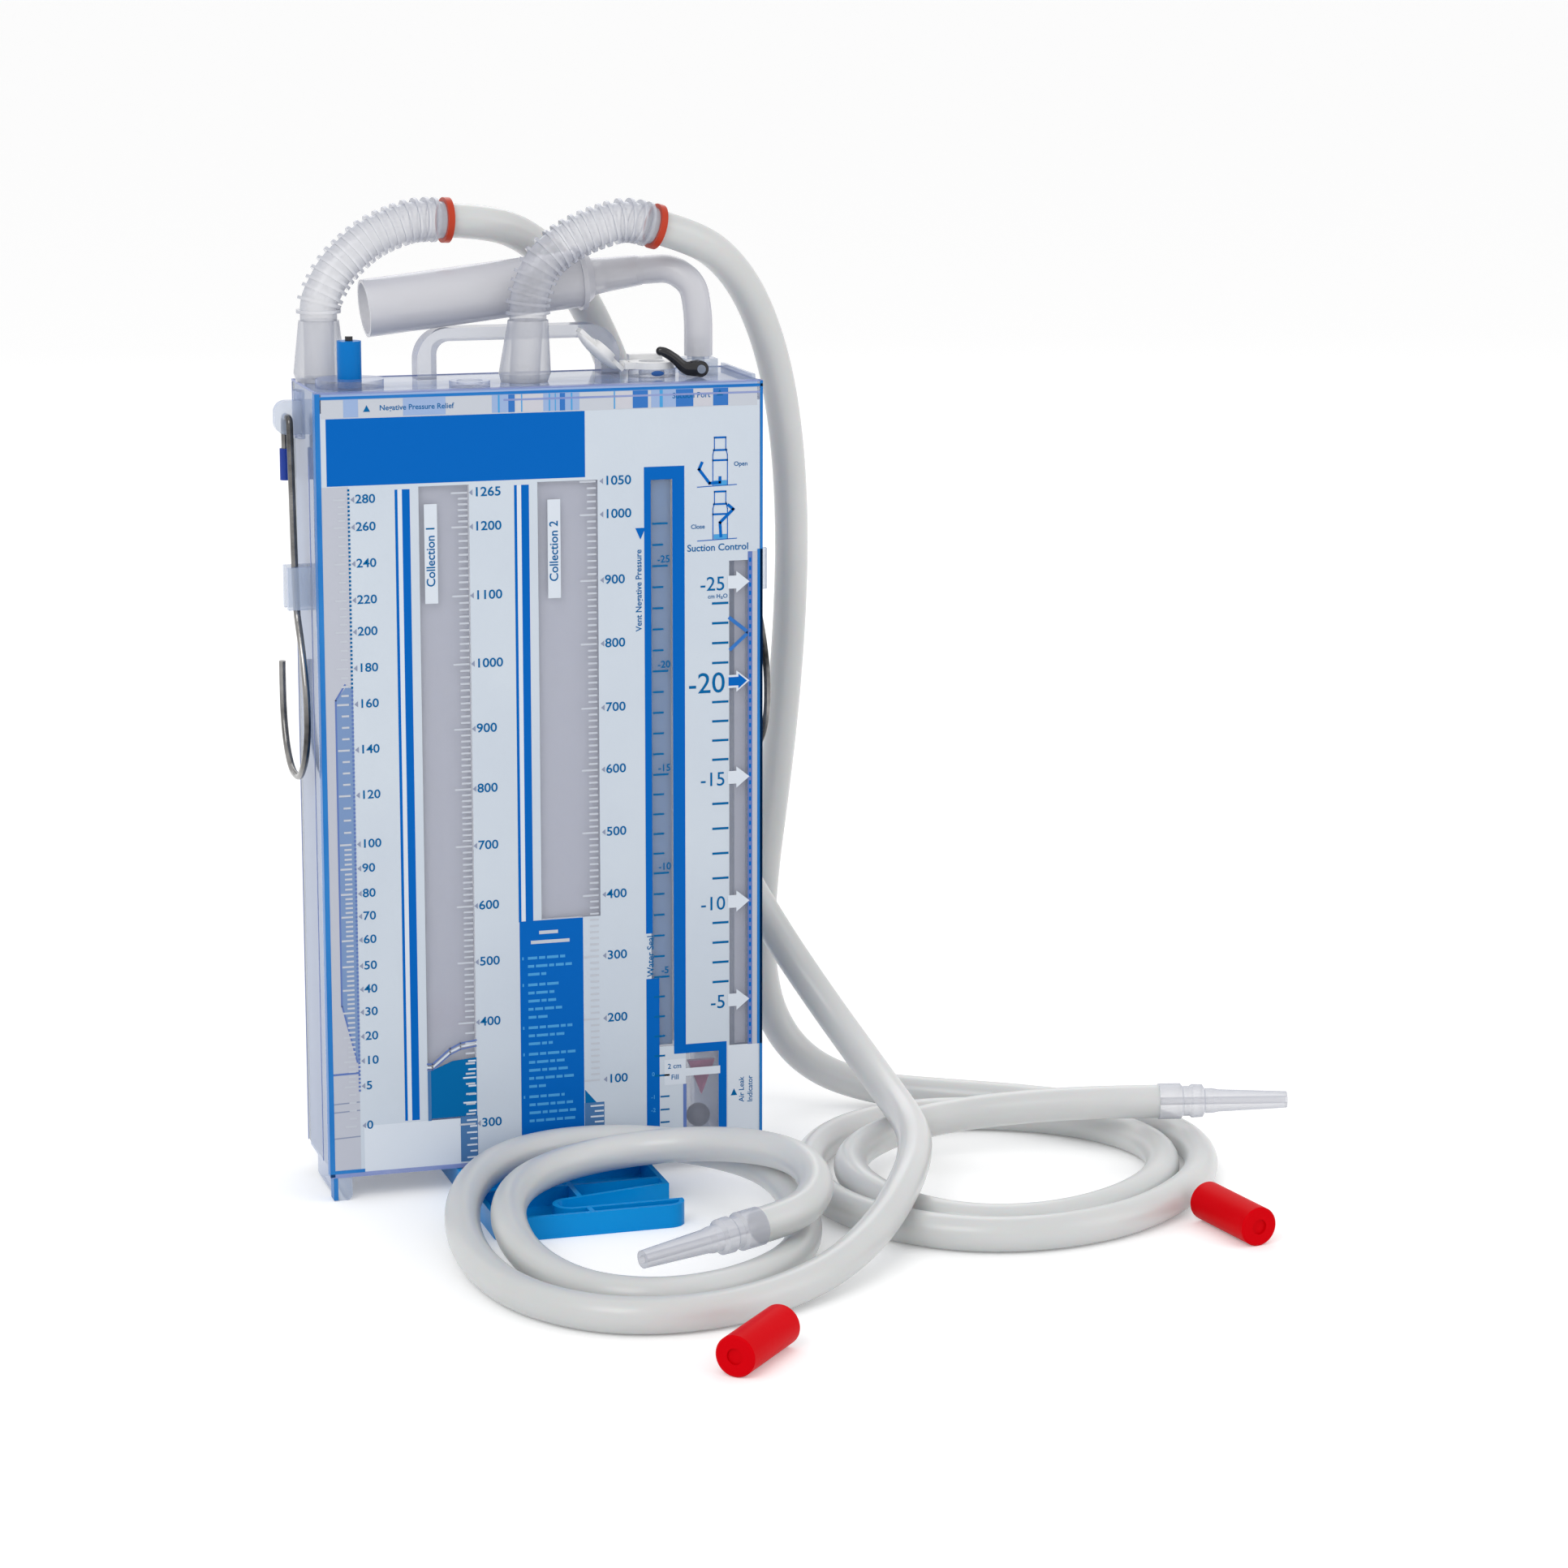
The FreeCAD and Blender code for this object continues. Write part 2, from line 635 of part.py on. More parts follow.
def make_caps():
    """Loose protective caps lying beside the coils, each open at its far end."""
    outer, length = size("cap_size") / 2, size("cap_length")
    bore, dimple = outer - size("cap_wall"), size("cap_dimple") / 2
    profile = [
        (0, 1), (dimple, 1), (dimple, 0), (outer - 0.8, 0), (outer, 0.8), (outer, length),
        (bore, length), (bore, size("cap_end")), (0, size("cap_end")),
    ]
    for number, near, way in ((1, (8.2, -313.8), (29.7, 32.8)), (2, (282, -216.1), (-7.1, 42.3))):
        shape(f"red_cap_{number}", aim(revolved(profile), Vector(*near, outer), Vector(*way, 0)))


def make_relief_valve():
    """Flat collar on the deck with a sprung button through it."""
    across = f"{left_side} + relief_inset"
    disc = cylinder("CollarDisc", "collar_size", "collar_height", across, "relief_back", deck)
    hole = cylinder("CollarHole", "button_size + 2 * slide_gap", "collar_height", across, "relief_back",
                    deck)
    cut("relief_collar", disc, hole)
    cylinder("relief_button", "button_size", "button_top + button_sink", across, "relief_back",
             f"{deck} - button_sink")
    cylinder("relief_pin", "pin_size", "pin_height", across, "relief_back", f"{deck} + button_top")


def make_plug():
    """Low clear plug with a shallow dished top."""
    across = f"{left_side} + plug_inset"
    disc = cylinder("PlugDisc", "plug_size", "plug_height", across, "plug_back", deck)
    dish = cylinder("PlugDish", "plug_dimple", "plug_height / 2", across, "plug_back",
                    f"{deck} + plug_height / 2")
    cut("sampling_plug", disc, dish)


def stem_middle():
    return size("body_width") / 2 - size("stem_inset")


def make_suction_port():
    """Valve block with its stem, the black lever beside it, and the filler tube on the stem."""
    block = box("ValveBlock", "valve_width", "valve_depth", "valve_height",
                f"{stem_across} - valve_width / 2", "stem_back - valve_depth / 2", deck)
    stem = cylinder("StemPost", "stem_size", "stem_height", stem_across, "stem_back", deck)
    pin = cylinder("LeverPin", "lever_pin", "lever_thick + lever_pin_stub", f"{stem_across} + lever_across",
                   "stem_back - valve_depth / 2", f"{deck} + lever_rise", to_front)
    bore = cylinder("StemBore", "stem_bore", "stem_height", stem_across, "stem_back",
                    f"{deck} + valve_height / 2")
    cut("lift_stem", fuse("StemBlank", [block, stem, pin]), bore)

    top = Vector(stem_middle(), size("stem_back"), deck_level() + size("stem_height"))
    start = top - Vector(0, 0, size("filler_cover"))
    tip, way = barrel_tip()
    run = tip - way * size("filler_grip") - top
    bend = [tuple(top + Vector(across * run.x, back * run.y, rise)) for across, back, rise in FILLER_BEND]
    points = [tuple(start)] + bend + [tuple(tip + way * size("filler_lead")),
                                      tuple(tip - way * size("filler_grip"))]
    path, _ = rounded_path(points)
    outer = sweep(path, points, size("filler_size"))
    shape("filler_tube", outer.cut(sweep(path, points, size("stem_size") + 2 * size("filler_gap"))))

    hub_at = Vector(stem_middle() + size("lever_across"),
                    size("stem_back") - size("valve_depth") / 2 - size("lever_side_gap"),
                    deck_level() + size("lever_rise"))
    front = Vector(0, -size("lever_thick"), 0)
    hub = Part.makeCylinder(size("lever_hub") / 2, size("lever_thick"), hub_at, front)
    arm = size("lever_arm")
    reach, lift = size("lever_reach"), size("lever_lift")
    middle = hub_at + front / 2
    route = [tuple(middle + Vector(-across * reach, 0, rise * lift))
             for across, rise in ((0, 0), (0.38, 0.06), (0.6, 0.68), (1, 1))]
    arm_path, _ = rounded_path(route)
    arm_solid = sweep(arm_path, route, arm)
    pad = Part.makeSphere(0.62 * arm, Vector(*route[-1]))
    hole = Part.makeCylinder(size("lever_pin") / 2 + size("hinge_gap"), size("lever_thick"), hub_at, front)
    shape("suction_lever", hub.fuse([arm_solid, pad]).cut(hole))


def barrel_line():
    """Start and direction of the barrel's axis, so that the barrel rests on the handle's left shoulder."""
    tilt = math.radians(size("barrel_tilt"))
    way = Vector(math.cos(tilt), 0, math.sin(tilt))
    middle = size("handle_front") + size("handle_depth") / 2
    top = deck_level() + size("handle_rise")
    rest = size("handle_round") - size("handle_width") / 2
    clear = (size("barrel_size") / 2 + size("barrel_seat_gap")) / math.cos(tilt)
    drop = (rest - size("barrel_across")) * math.tan(tilt)
    return Vector(size("barrel_across"), middle, top + clear - drop), way


def barrel_tip():
    start, way = barrel_line()
    return start + way * (size("barrel_length") + size("barrel_tip_length")), way


def make_barrel():
    """Empty syringe barrel on its side: open mouth at the left, flange and narrow tip at the right."""
    start, way = barrel_line()
    outer, length = size("barrel_size") / 2, size("barrel_length")
    wall, shoulder = size("barrel_wall"), size("barrel_shoulder")
    inner = outer - wall
    tip = size("barrel_tip_size") / 2
    end = length + size("barrel_tip_length")
    lip, lip_low = outer + size("barrel_flange"), length - shoulder - size("barrel_flange_width")
    narrow = 0.75 * shoulder
    profile = [
        (inner, 0), (outer, 0), (outer, lip_low), (lip, lip_low), (lip, length - shoulder),
        (outer, length - shoulder), (outer - narrow, length), (tip, length), (tip, end), (tip - wall, end),
        (tip - wall, length - wall), (inner - narrow, length - wall), (inner, length - shoulder - wall),
    ]
    shape("syringe_barrel", aim(revolved(profile), start, way))


def make_vent():
    """Clear ring, white seat with its stop block, and the flip lid standing open."""
    ring = cylinder("VentRingDisc", "vent_size", "vent_ring_height", vent_across, "vent_back", deck)
    hole = cylinder("VentRingHole", "vent_hole", "vent_ring_height", vent_across, "vent_back", deck)
    cut("vent_ring", ring, hole)
    level = f"{deck} + vent_ring_height"
    disc = cylinder("SeatDisc", "vent_size - 1", "vent_seat_height", vent_across, "vent_back", level)
    block = box("SeatBlock", "vent_block_width", "vent_block_depth", "vent_block_height",
                f"{vent_across} - vent_block_width / 2", "vent_back + vent_size / 2 - 1", level)
    ear_front = "vent_back - lid_tab_width / 2 - ear_gap - ear_thick"
    ear_rear = "vent_back + lid_tab_width / 2 + ear_gap"
    ears = [box(name, "lid_knuckle + ear_run", "ear_thick", "lid_knuckle",
                f"{vent_across} - vent_size / 2 - lid_knuckle", near, level)
            for name, near in (("FrontEar", ear_front), ("RearEar", ear_rear))]
    pin = cylinder("LidPin", "lid_pin", "lid_tab_width + 2 * (ear_gap + ear_thick)",
                   f"{vent_across} - vent_size / 2 - lid_knuckle / 2", ear_front,
                   f"{level} + lid_knuckle / 2", to_back)
    hole = cylinder("SeatHole", "vent_hole", "vent_seat_height", vent_across, "vent_back", level)
    cut("vent_seat", fuse("SeatBlank", [disc, block, pin] + ears), hole)

    seat_left = size("body_width") / 2 - size("vent_inset") - size("vent_size") / 2
    hinge = Vector(seat_left - size("lid_knuckle") / 2, size("vent_back"),
                   deck_level() + size("vent_ring_height") + size("lid_knuckle") / 2)
    radius, thick = size("lid_size") / 2, size("lid_thick")
    centre = Vector(size("lid_knuckle") / 2 + size("vent_size") / 2, 0, 0)
    rise = Vector(0, 0, size("vent_seat_height") - size("lid_knuckle") / 2 + 0.2)
    up = Vector(0, 0, 1)
    half_tab = size("lid_tab_width") / 2
    plate = Part.makeCylinder(radius, thick, centre + rise, up)
    rim_hole = size("vent_hole") / 2 - 0.3
    rim = Part.makeCylinder(rim_hole, size("lid_rim"), centre + rise - up * size("lid_rim"), up)
    rim = rim.cut(Part.makeCylinder(rim_hole - 1, size("lid_rim"), centre + rise - up * size("lid_rim"), up))
    tab = Part.makeBox(size("lid_tab") + radius, 2 * half_tab, thick, centre + rise - Vector(0, half_tab, 0))
    strap = Part.makeBox(centre.x, 2 * half_tab, thick, Vector(0, -half_tab, rise.z))
    knuckle_radius = size("lid_knuckle") / 2 + 0.3
    knuckle = Part.makeCylinder(knuckle_radius, 2 * half_tab, Vector(0, -half_tab, 0), Vector(0, 1, 0))
    clear = Part.makeCylinder(size("lid_pin") / 2 + size("hinge_gap"), 2 * half_tab, Vector(0, -half_tab, 0),
                              Vector(0, 1, 0))
    neck = Part.makeBox(knuckle_radius, 2 * half_tab, rise.z, Vector(-knuckle_radius, -half_tab, 0))
    lid = plate.fuse([rim, tab, strap, knuckle, neck]).cut(clear)
    lid.rotate(Vector(), Vector(0, 1, 0), -size("lid_open"))
    lid.translate(hinge)
    shape("vent_lid", lid)


def stand_outline():
    """Half-turn symmetric plate outline with a tapering notch cut in from opposite sides."""
    half_width, half_length = size("stand_width") / 2, size("stand_length") / 2
    bar = -half_length + size("stand_bar")
    end = size("notch_end")
    plate = Part.makeBox(2 * half_width, 2 * half_length, 1, Vector(-half_width, -half_length, 0))
    plate = plate.makeFillet(size("stand_round"), [edge for edge in plate.Edges if upright(edge)])
    apex = size("notch_apex")
    mouth = bar + size("notch_mouth")
    corners = [Vector(half_width + 5, bar, 0), Vector(apex + end / 2, bar, 0),
               Vector(apex + end / 2, bar + end, 0), Vector(half_width, mouth, 0),
               Vector(half_width + 5, mouth + 1, 0)]
    wedge = Part.Face(Part.makePolygon(corners + corners[:1])).extrude(Vector(0, 0, 1))
    wedge = wedge.fuse(Part.makeCylinder(end / 2, 1, Vector(apex + end / 2, bar + end / 2, 0)))
    opposite = wedge.copy()
    opposite.rotate(Vector(), Vector(0, 0, 1), 180)
    solid = plate.cut([wedge, opposite]).removeSplitter()
    base = min(solid.Faces, key=lambda each: each.CenterOfMass.z)
    return base.OuterWire


def make_stand():
    """Swivel stand: an open-topped ribbed tray on a central stud under the housing."""
    height = size("foot_height") - size("stand_gap")
    wire = stand_outline()
    outer = Part.Face(wire).extrude(Vector(0, 0, height))
    floor_level = size("stand_floor")
    inner = Part.Face(wire.makeOffset2D(-size("stand_wall")))
    tray = outer.cut(inner.extrude(Vector(0, 0, height)).translated(Vector(0, 0, floor_level)))
    boss = Part.makeCylinder(size("pivot_boss") / 2, height)
    wall = size("stand_wall")
    half_width, half_length = size("stand_width") / 2, size("stand_length") / 2
    ribs = [
        Part.makeBox(2 * half_width, wall, height, Vector(-half_width, -wall / 2, 0)),
        Part.makeBox(wall, 2 * half_length, height, Vector(-wall / 2, -half_length, 0)),
    ]
    for share in (0.33, 0.62):
        for sign in (-1, 1):
            ribs.append(Part.makeBox(2 * half_width, wall, height,
                                     Vector(-half_width, sign * share * half_length - wall / 2, 0)))
    ribs = [rib.common(outer) for rib in ribs]
    bore = Part.makeCylinder(size("pivot_size") / 2 + size("hinge_gap"), height)
    recess = Part.makeCylinder(size("pivot_head") / 2 + 1, size("pivot_recess"))
    shape("floor_stand", tray.fuse([boss] + ribs).cut([bore, recess]).removeSplitter())
    head_low = size("pivot_recess") - size("pivot_head_thick") - 0.3
    profile = [
        (0, head_low), (size("pivot_head") / 2, head_low),
        (size("pivot_head") / 2, head_low + size("pivot_head_thick")),
        (size("pivot_size") / 2, head_low + size("pivot_head_thick")),
        (size("pivot_size") / 2, size("foot_height") + size("wall")),
        (0, size("foot_height") + size("wall")),
    ]
    shape("pivot_stud", revolved(profile))


def make_hooks():
    """Wire bed hooks hanging from the lugs, each with a cap on its short tail."""
    wire, pocket_deep = size("wire_size"), size("hook_pocket")
    level = deck_level() - size("hook_hinge_drop")
    front = size("lug_front") - size("hook_arm")
    rear = size("lug_front") + size("lug_thick") + size("hook_arm")
    cap_top = level - size("hook_cap_drop")
    for side, word in ((-1, "left"), (1, "right")):
        across = side * (size("body_width") / 2 + size("hook_standoff"))
        points = [(across, rear, cap_top - pocket_deep), (across, rear, level), (across, front, level)]
        points += [(across, back, level - down) for back, down in HOOK_SHANK]
        path, _ = rounded_path(points, 2, size("hook_bend"))
        shape(f"hook_{word}", sweep(path, points, wire))
        cap = Part.makeCylinder(size("hook_cap_size") / 2, size("hook_cap_length"),
                                Vector(across, rear, cap_top - size("hook_cap_length")))
        pocket = Part.makeCylinder(wire / 2, pocket_deep, Vector(across, rear, cap_top - pocket_deep))
        shape(f"hook_cap_{word}", cap.cut(pocket))


NODES = [
    "chamber_body", "front_panel", "scale_label", "leak_wedge", "float_ball", "carry_handle",
    "inlet_cone_1", "inlet_cone_2", "spiral_sleeve_1", "spiral_sleeve_2", "retaining_ring_1",
    "retaining_ring_2", "patient_tube_1", "patient_tube_2", "tube_connector_1", "tube_connector_2",
    "red_cap_1", "red_cap_2", "relief_collar", "relief_button", "relief_pin", "sampling_plug",
    "lift_stem", "filler_tube", "suction_lever", "syringe_barrel", "vent_ring", "vent_seat", "vent_lid",
    "floor_stand", "pivot_stud", "hook_left", "hook_cap_left", "hook_right", "hook_cap_right",
]

make_housing()
make_front()
make_leak_indicator()
make_handle()
make_inlets()
make_tubes()
make_caps()
make_relief_valve()
make_plug()
make_suction_port()
make_barrel()
make_vent()
make_stand()
make_hooks()
document.recompute()

for item in document.Objects:
    if "Invalid" in item.State or "Error" in item.State:
        raise RuntimeError(f"{item.Name} failed: {item.State}")

os.makedirs("parts", exist_ok=True)
for node in NODES:
    item = document.getObject(node)
    item.Label = node
    if item.Shape.isNull() or not item.Shape.isValid():
        raise RuntimeError(f"{node} has no valid shape")
    item.Shape.exportStep(f"parts/{node}.step")
    print(f"{node}: {len(item.Shape.Solids)} solid, {item.Shape.Volume:.0f} mm3")
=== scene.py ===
"""Looks of the chest drainage unit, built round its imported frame. Metres, front towards -Y."""
import bmesh
import bpy
import math
from mathutils import Matrix, Vector


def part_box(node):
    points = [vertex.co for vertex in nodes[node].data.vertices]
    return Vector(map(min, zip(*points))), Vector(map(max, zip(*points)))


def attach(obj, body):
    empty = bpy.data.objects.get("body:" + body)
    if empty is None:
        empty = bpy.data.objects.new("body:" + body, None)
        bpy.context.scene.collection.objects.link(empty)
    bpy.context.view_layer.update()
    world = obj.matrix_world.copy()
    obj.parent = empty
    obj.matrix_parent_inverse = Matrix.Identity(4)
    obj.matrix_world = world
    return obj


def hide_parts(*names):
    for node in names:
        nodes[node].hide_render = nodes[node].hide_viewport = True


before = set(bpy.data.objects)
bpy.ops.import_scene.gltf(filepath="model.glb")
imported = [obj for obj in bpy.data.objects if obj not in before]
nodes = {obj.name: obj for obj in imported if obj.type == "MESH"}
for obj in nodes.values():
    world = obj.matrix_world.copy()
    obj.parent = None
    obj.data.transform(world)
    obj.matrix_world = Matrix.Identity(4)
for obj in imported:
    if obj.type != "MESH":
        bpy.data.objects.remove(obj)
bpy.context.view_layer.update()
MM = 0.001

# Camera: the unit is seen from its left front and a little from above,
# through a long lens.
camera_place = Vector((-0.4467, -1.871, 0.5866))
camera_turn = math.radians(16.98)
camera_dip = math.radians(11.8)
camera_roll = math.radians(0.12)
ahead = Vector((math.sin(camera_turn) * math.cos(camera_dip),
                math.cos(camera_turn) * math.cos(camera_dip), -math.sin(camera_dip)))
level_right = Vector((math.cos(camera_turn), -math.sin(camera_turn), 0))
level_up = level_right.cross(ahead)
right = level_right * math.cos(camera_roll) + level_up * math.sin(camera_roll)
up = level_up * math.cos(camera_roll) - level_right * math.sin(camera_roll)
camera = bpy.data.objects.new("camera", bpy.data.cameras.new("camera"))
bpy.context.collection.objects.link(camera)
camera.data.lens = 96.06
camera.data.sensor_width = 36
camera.data.clip_end = 200
camera.matrix_world = Matrix((
    (right.x, up.x, -ahead.x, camera_place.x),
    (right.y, up.y, -ahead.y, camera_place.y),
    (right.z, up.z, -ahead.z, camera_place.z),
    (0, 0, 0, 1),
))
bpy.context.scene.camera = camera
bpy.context.scene.view_settings.view_transform = "Standard"

# Patient tubes: soft milky vinyl hoses, extruded, pushed on at the ridged sleeves
# and lying in two loose coils on the floor and the stand.
left_route = [
    (-33, 23, 447), (-12, 25, 446), (8, 32, 439), (29, 42, 422), (47, 49, 394), (62, 52, 357),
    (73, 51, 313), (82, 49, 265), (89, 47, 217), (98, 46, 172), (112, 43, 132), (130, 33, 98),
    (147, 14, 68), (159, -13, 46), (164, -47, 33), (162, -85, 29), (151, -123, 28), (133, -161, 26),
    (109, -196, 18), (77, -227, 11), (40, -248, 8.4), (3, -256, 8.2), (-31, -246, 8.2), (-55, -216, 8.2),
    (-65, -176, 8.6), (-65, -133, 12), (-55, -93, 18), (-34, -60, 21), (-3, -42, 21.4), (33, -44, 21.4),
    (65, -66, 21.6), (87, -100, 20.4), (91, -135, 14), (84, -170, 8.8), (65, -203, 8.2), (33, -226, 8.2),
    (-2, -231, 8.2), (-31, -212, 8.8), (-46, -176, 12.5), (-46, -136, 19), (-32, -100, 21.5),
    (-6, -76, 22.5), (26, -70, 24.8), (56, -82, 29), (77, -106, 33), (90, -129, 34), (93, -152, 32),
    (87, -174, 29), (72, -191, 26), (53, -198, 25),
]
right_route = [
    (59.4, -5, 444.6), (80, -2.5, 439), (100, 9, 426), (117.5, 23, 404), (131, 35, 373),
    (139.5, 44, 336), (144, 51, 294), (145, 57.5, 250), (143, 62, 204), (139, 66, 159), (134.5, 70, 116),
    (133.5, 73, 76), (140, 72, 42), (157, 63, 19), (185, 48, 9), (218, 30, 8.2), (251, 10, 8.2),
    (281, -15, 8.2), (301, -48, 8.2), (305, -87, 8.2), (292, -127, 8.2), (265, -161, 8.2), (230, -186, 8.2),
    (191, -195, 8.2), (156, -188, 8.2), (128, -165, 8.2), (112, -133, 8.2), (109, -97, 8.2),
    (117, -62, 8.2), (133.5, -32, 8.2), (158, -10, 8.2), (189, 0, 8.2), (223, -5, 8.2), (255, -23, 8.2),
    (278, -50, 8.2), (286, -84, 8.2), (276, -119, 8.2), (253, -149, 8.2), (221, -170, 8.2),
    (188, -177, 8.2), (158, -168, 8.4), (137, -145, 9.5), (127.6, -114, 11.2), (130.5, -83, 12.4),
    (145.5, -59.5, 14), (170, -45.5, 17), (200, -46, 21), (231, -56, 25), (261, -67, 27.5),
    (290, -74, 27.5),
]


def add_object(name, data, *materials):
    """Link a piece with its materials to the scene."""
    piece = bpy.data.objects.new(name, data)
    bpy.context.collection.objects.link(piece)
    for material in materials:
        data.materials.append(material)
    return piece


def plain_material(name, colour, roughness, **sockets):
    """A principled material, with its own values on the shader's sockets."""
    material = bpy.data.materials.new(name)
    material.use_nodes = True
    shader = material.node_tree.nodes["Principled BSDF"]
    shader.inputs["Base Color"].default_value = (*colour, 1)
    shader.inputs["Roughness"].default_value = roughness
    for word, value in sockets.items():
        shader.inputs[word.replace("_", " ").title().replace("Ior", "IOR")].default_value = value
    return material


def graph(material):
    return material.node_tree.nodes, material.node_tree.links, material.node_tree.nodes["Principled BSDF"]


def mottle(material, colour, other, scale, bump, bump_scale):
    """Slow colour drift and a fine moulded grain, both in the object's own coordinates; on the plated wire
    the drift is a painted reflection of the room.
    """
    tree, links, shader = graph(material)
    place = tree.new("ShaderNodeTexCoord")
    drift = tree.new("ShaderNodeTexNoise")
    drift.inputs["Scale"].default_value = scale
    drift.inputs["Detail"].default_value = 3
    links.new(place.outputs["Object"], drift.inputs["Vector"])
    ramp = tree.new("ShaderNodeValToRGB")
    ramp.color_ramp.elements[0].position = 0.3
    ramp.color_ramp.elements[1].position = 0.7
    ramp.color_ramp.elements[0].color = (*colour, 1)
    ramp.color_ramp.elements[1].color = (*other, 1)
    links.new(drift.outputs["Fac"], ramp.inputs["Fac"])
    links.new(ramp.outputs["Color"], shader.inputs["Base Color"])
    grain = tree.new("ShaderNodeTexNoise")
    grain.inputs["Scale"].default_value = bump_scale
    links.new(place.outputs["Object"], grain.inputs["Vector"])
    relief = tree.new("ShaderNodeBump")
    relief.inputs["Strength"].default_value = bump
    relief.inputs["Distance"].default_value = 0.0005
    links.new(grain.outputs["Fac"], relief.inputs["Height"])
    links.new(relief.outputs["Normal"], shader.inputs["Normal"])


tube_radius = 8 * MM
milky = plain_material("milky_tube", (0.60, 0.61, 0.60), 0.3, alpha=0.94, coat_weight=0.3,
                       coat_roughness=0.2, subsurface_weight=0.2, subsurface_scale=0.01)
mottle(milky, (0.59, 0.61, 0.61), (0.68, 0.69, 0.69), 9, 0.12, 120)
for number, route, real_length in ((1, left_route, 1.78), (2, right_route, 1.73)):
    line = bpy.data.curves.new(f"tube_line_{number}", "CURVE")
    line.dimensions = "3D"
    spline = line.splines.new("NURBS")
    spline.points.add(len(route) - 1)
    for point, spot in zip(spline.points, route):
        point.co = (spot[0] * MM, spot[1] * MM, spot[2] * MM, 1)
    spline.order_u = 3
    spline.use_endpoint_u = True
    spline.resolution_u = 10
    line.bevel_depth = tube_radius
    line.bevel_resolution = 10
    hose = add_object(f"hose_{number}", line, milky)
    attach(hose, "housing")
    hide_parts(f"patient_tube_{number}")
    [value * MM for value in route[0]]

# Studio: a white floor and background under soft, even light. To the camera and in reflections
# the floor is a little brighter, and it keeps the shadows.
bpy.ops.mesh.primitive_plane_add(size=120)
floor = bpy.context.object
floor.name = "floor"
floor_white = plain_material("floor_white", (0.93, 0.93, 0.93), 0.9, specular_ior_level=0.1)
world = bpy.data.worlds.new("studio")
bpy.context.scene.world = world
world.use_nodes = True


def seen_directly(tree, links, plain, seen):
    """A value that is plain for the light and seen for camera, glossy and transmitted rays."""
    path = tree.new("ShaderNodeLightPath")
    total = path.outputs["Is Camera Ray"]
    for ray in ("Is Glossy Ray", "Is Transmission Ray"):
        either = tree.new("ShaderNodeMath")
        either.operation = "MAXIMUM"
        links.new(total, either.inputs[0])
        links.new(path.outputs[ray], either.inputs[1])
        total = either.outputs["Value"]
    choice = tree.new("ShaderNodeMapRange")
    choice.inputs["To Min"].default_value = plain
    choice.inputs["To Max"].default_value = seen
    links.new(total, choice.inputs["Value"])
    return choice.outputs["Result"]


tree, links, shader = graph(floor_white)
shader.inputs["Emission Color"].default_value = (1, 1, 1, 1)
links.new(seen_directly(tree, links, 0, 0.2), shader.inputs["Emission Strength"])
floor.data.materials.append(floor_white)
sky = world.node_tree.nodes["Background"]
sky.inputs["Color"].default_value = (1, 1, 1, 1)
links = world.node_tree.links
links.new(seen_directly(world.node_tree.nodes, links, 0.82, 1), sky.inputs["Strength"])
for name, place, reach, power in (
    ("key", (-1.6, -1.9, 2.2), 1.6, 24),
    ("fill", (2.2, -1.4, 1.4), 1.6, 8),
    ("back", (0.4, 2.2, 2.0), 1.8, 12),
):
    lamp = bpy.data.objects.new(name, bpy.data.lights.new(name, "AREA"))
    bpy.context.collection.objects.link(lamp)
    lamp.data.size = reach
    lamp.data.energy = power
    lamp.location = place
    lamp.rotation_euler = (Vector((0.05, 0, 0.2)) - Vector(place)).to_track_quat("-Z", "Y").to_euler()

# Housing, panel, ports and sleeves: clear blue-tinted mouldings, thin and pale face on and deeper blue
# where a wall is seen edge on. The sleeves and cones are soft clear vinyl.
edge_blue = (0.02, 0.14, 0.50)


def clear_plastic(name, face_colour, rim_colour, face_alpha, rim_alpha, spread, roughness=0.08):
    material = plain_material(name, face_colour, roughness, ior=1.5, coat_weight=0.3)
    tree, links, shader = graph(material)
    facing = tree.new("ShaderNodeLayerWeight")
    facing.inputs["Blend"].default_value = spread
    ramp = tree.new("ShaderNodeValToRGB")
    ramp.color_ramp.elements[0].color = (*face_colour, 1)
    ramp.color_ramp.elements[1].color = (*rim_colour, 1)
    links.new(facing.outputs["Facing"], ramp.inputs["Fac"])
    links.new(ramp.outputs["Color"], shader.inputs["Base Color"])
    clarity = tree.new("ShaderNodeMapRange")
    clarity.inputs["To Min"].default_value = face_alpha
    clarity.inputs["To Max"].default_value = rim_alpha
    links.new(facing.outputs["Facing"], clarity.inputs["Value"])
    links.new(clarity.outputs["Result"], shader.inputs["Alpha"])
    place = tree.new("ShaderNodeTexCoord")
    flow = tree.new("ShaderNodeTexNoise")
    flow.inputs["Scale"].default_value = 35
    links.new(place.outputs["Object"], flow.inputs["Vector"])
    relief = tree.new("ShaderNodeBump")
    relief.inputs["Strength"].default_value = 0.15
    relief.inputs["Distance"].default_value = 0.001
    links.new(flow.outputs["Fac"], relief.inputs["Height"])
    links.new(relief.outputs["Normal"], shader.inputs["Normal"])
    return material


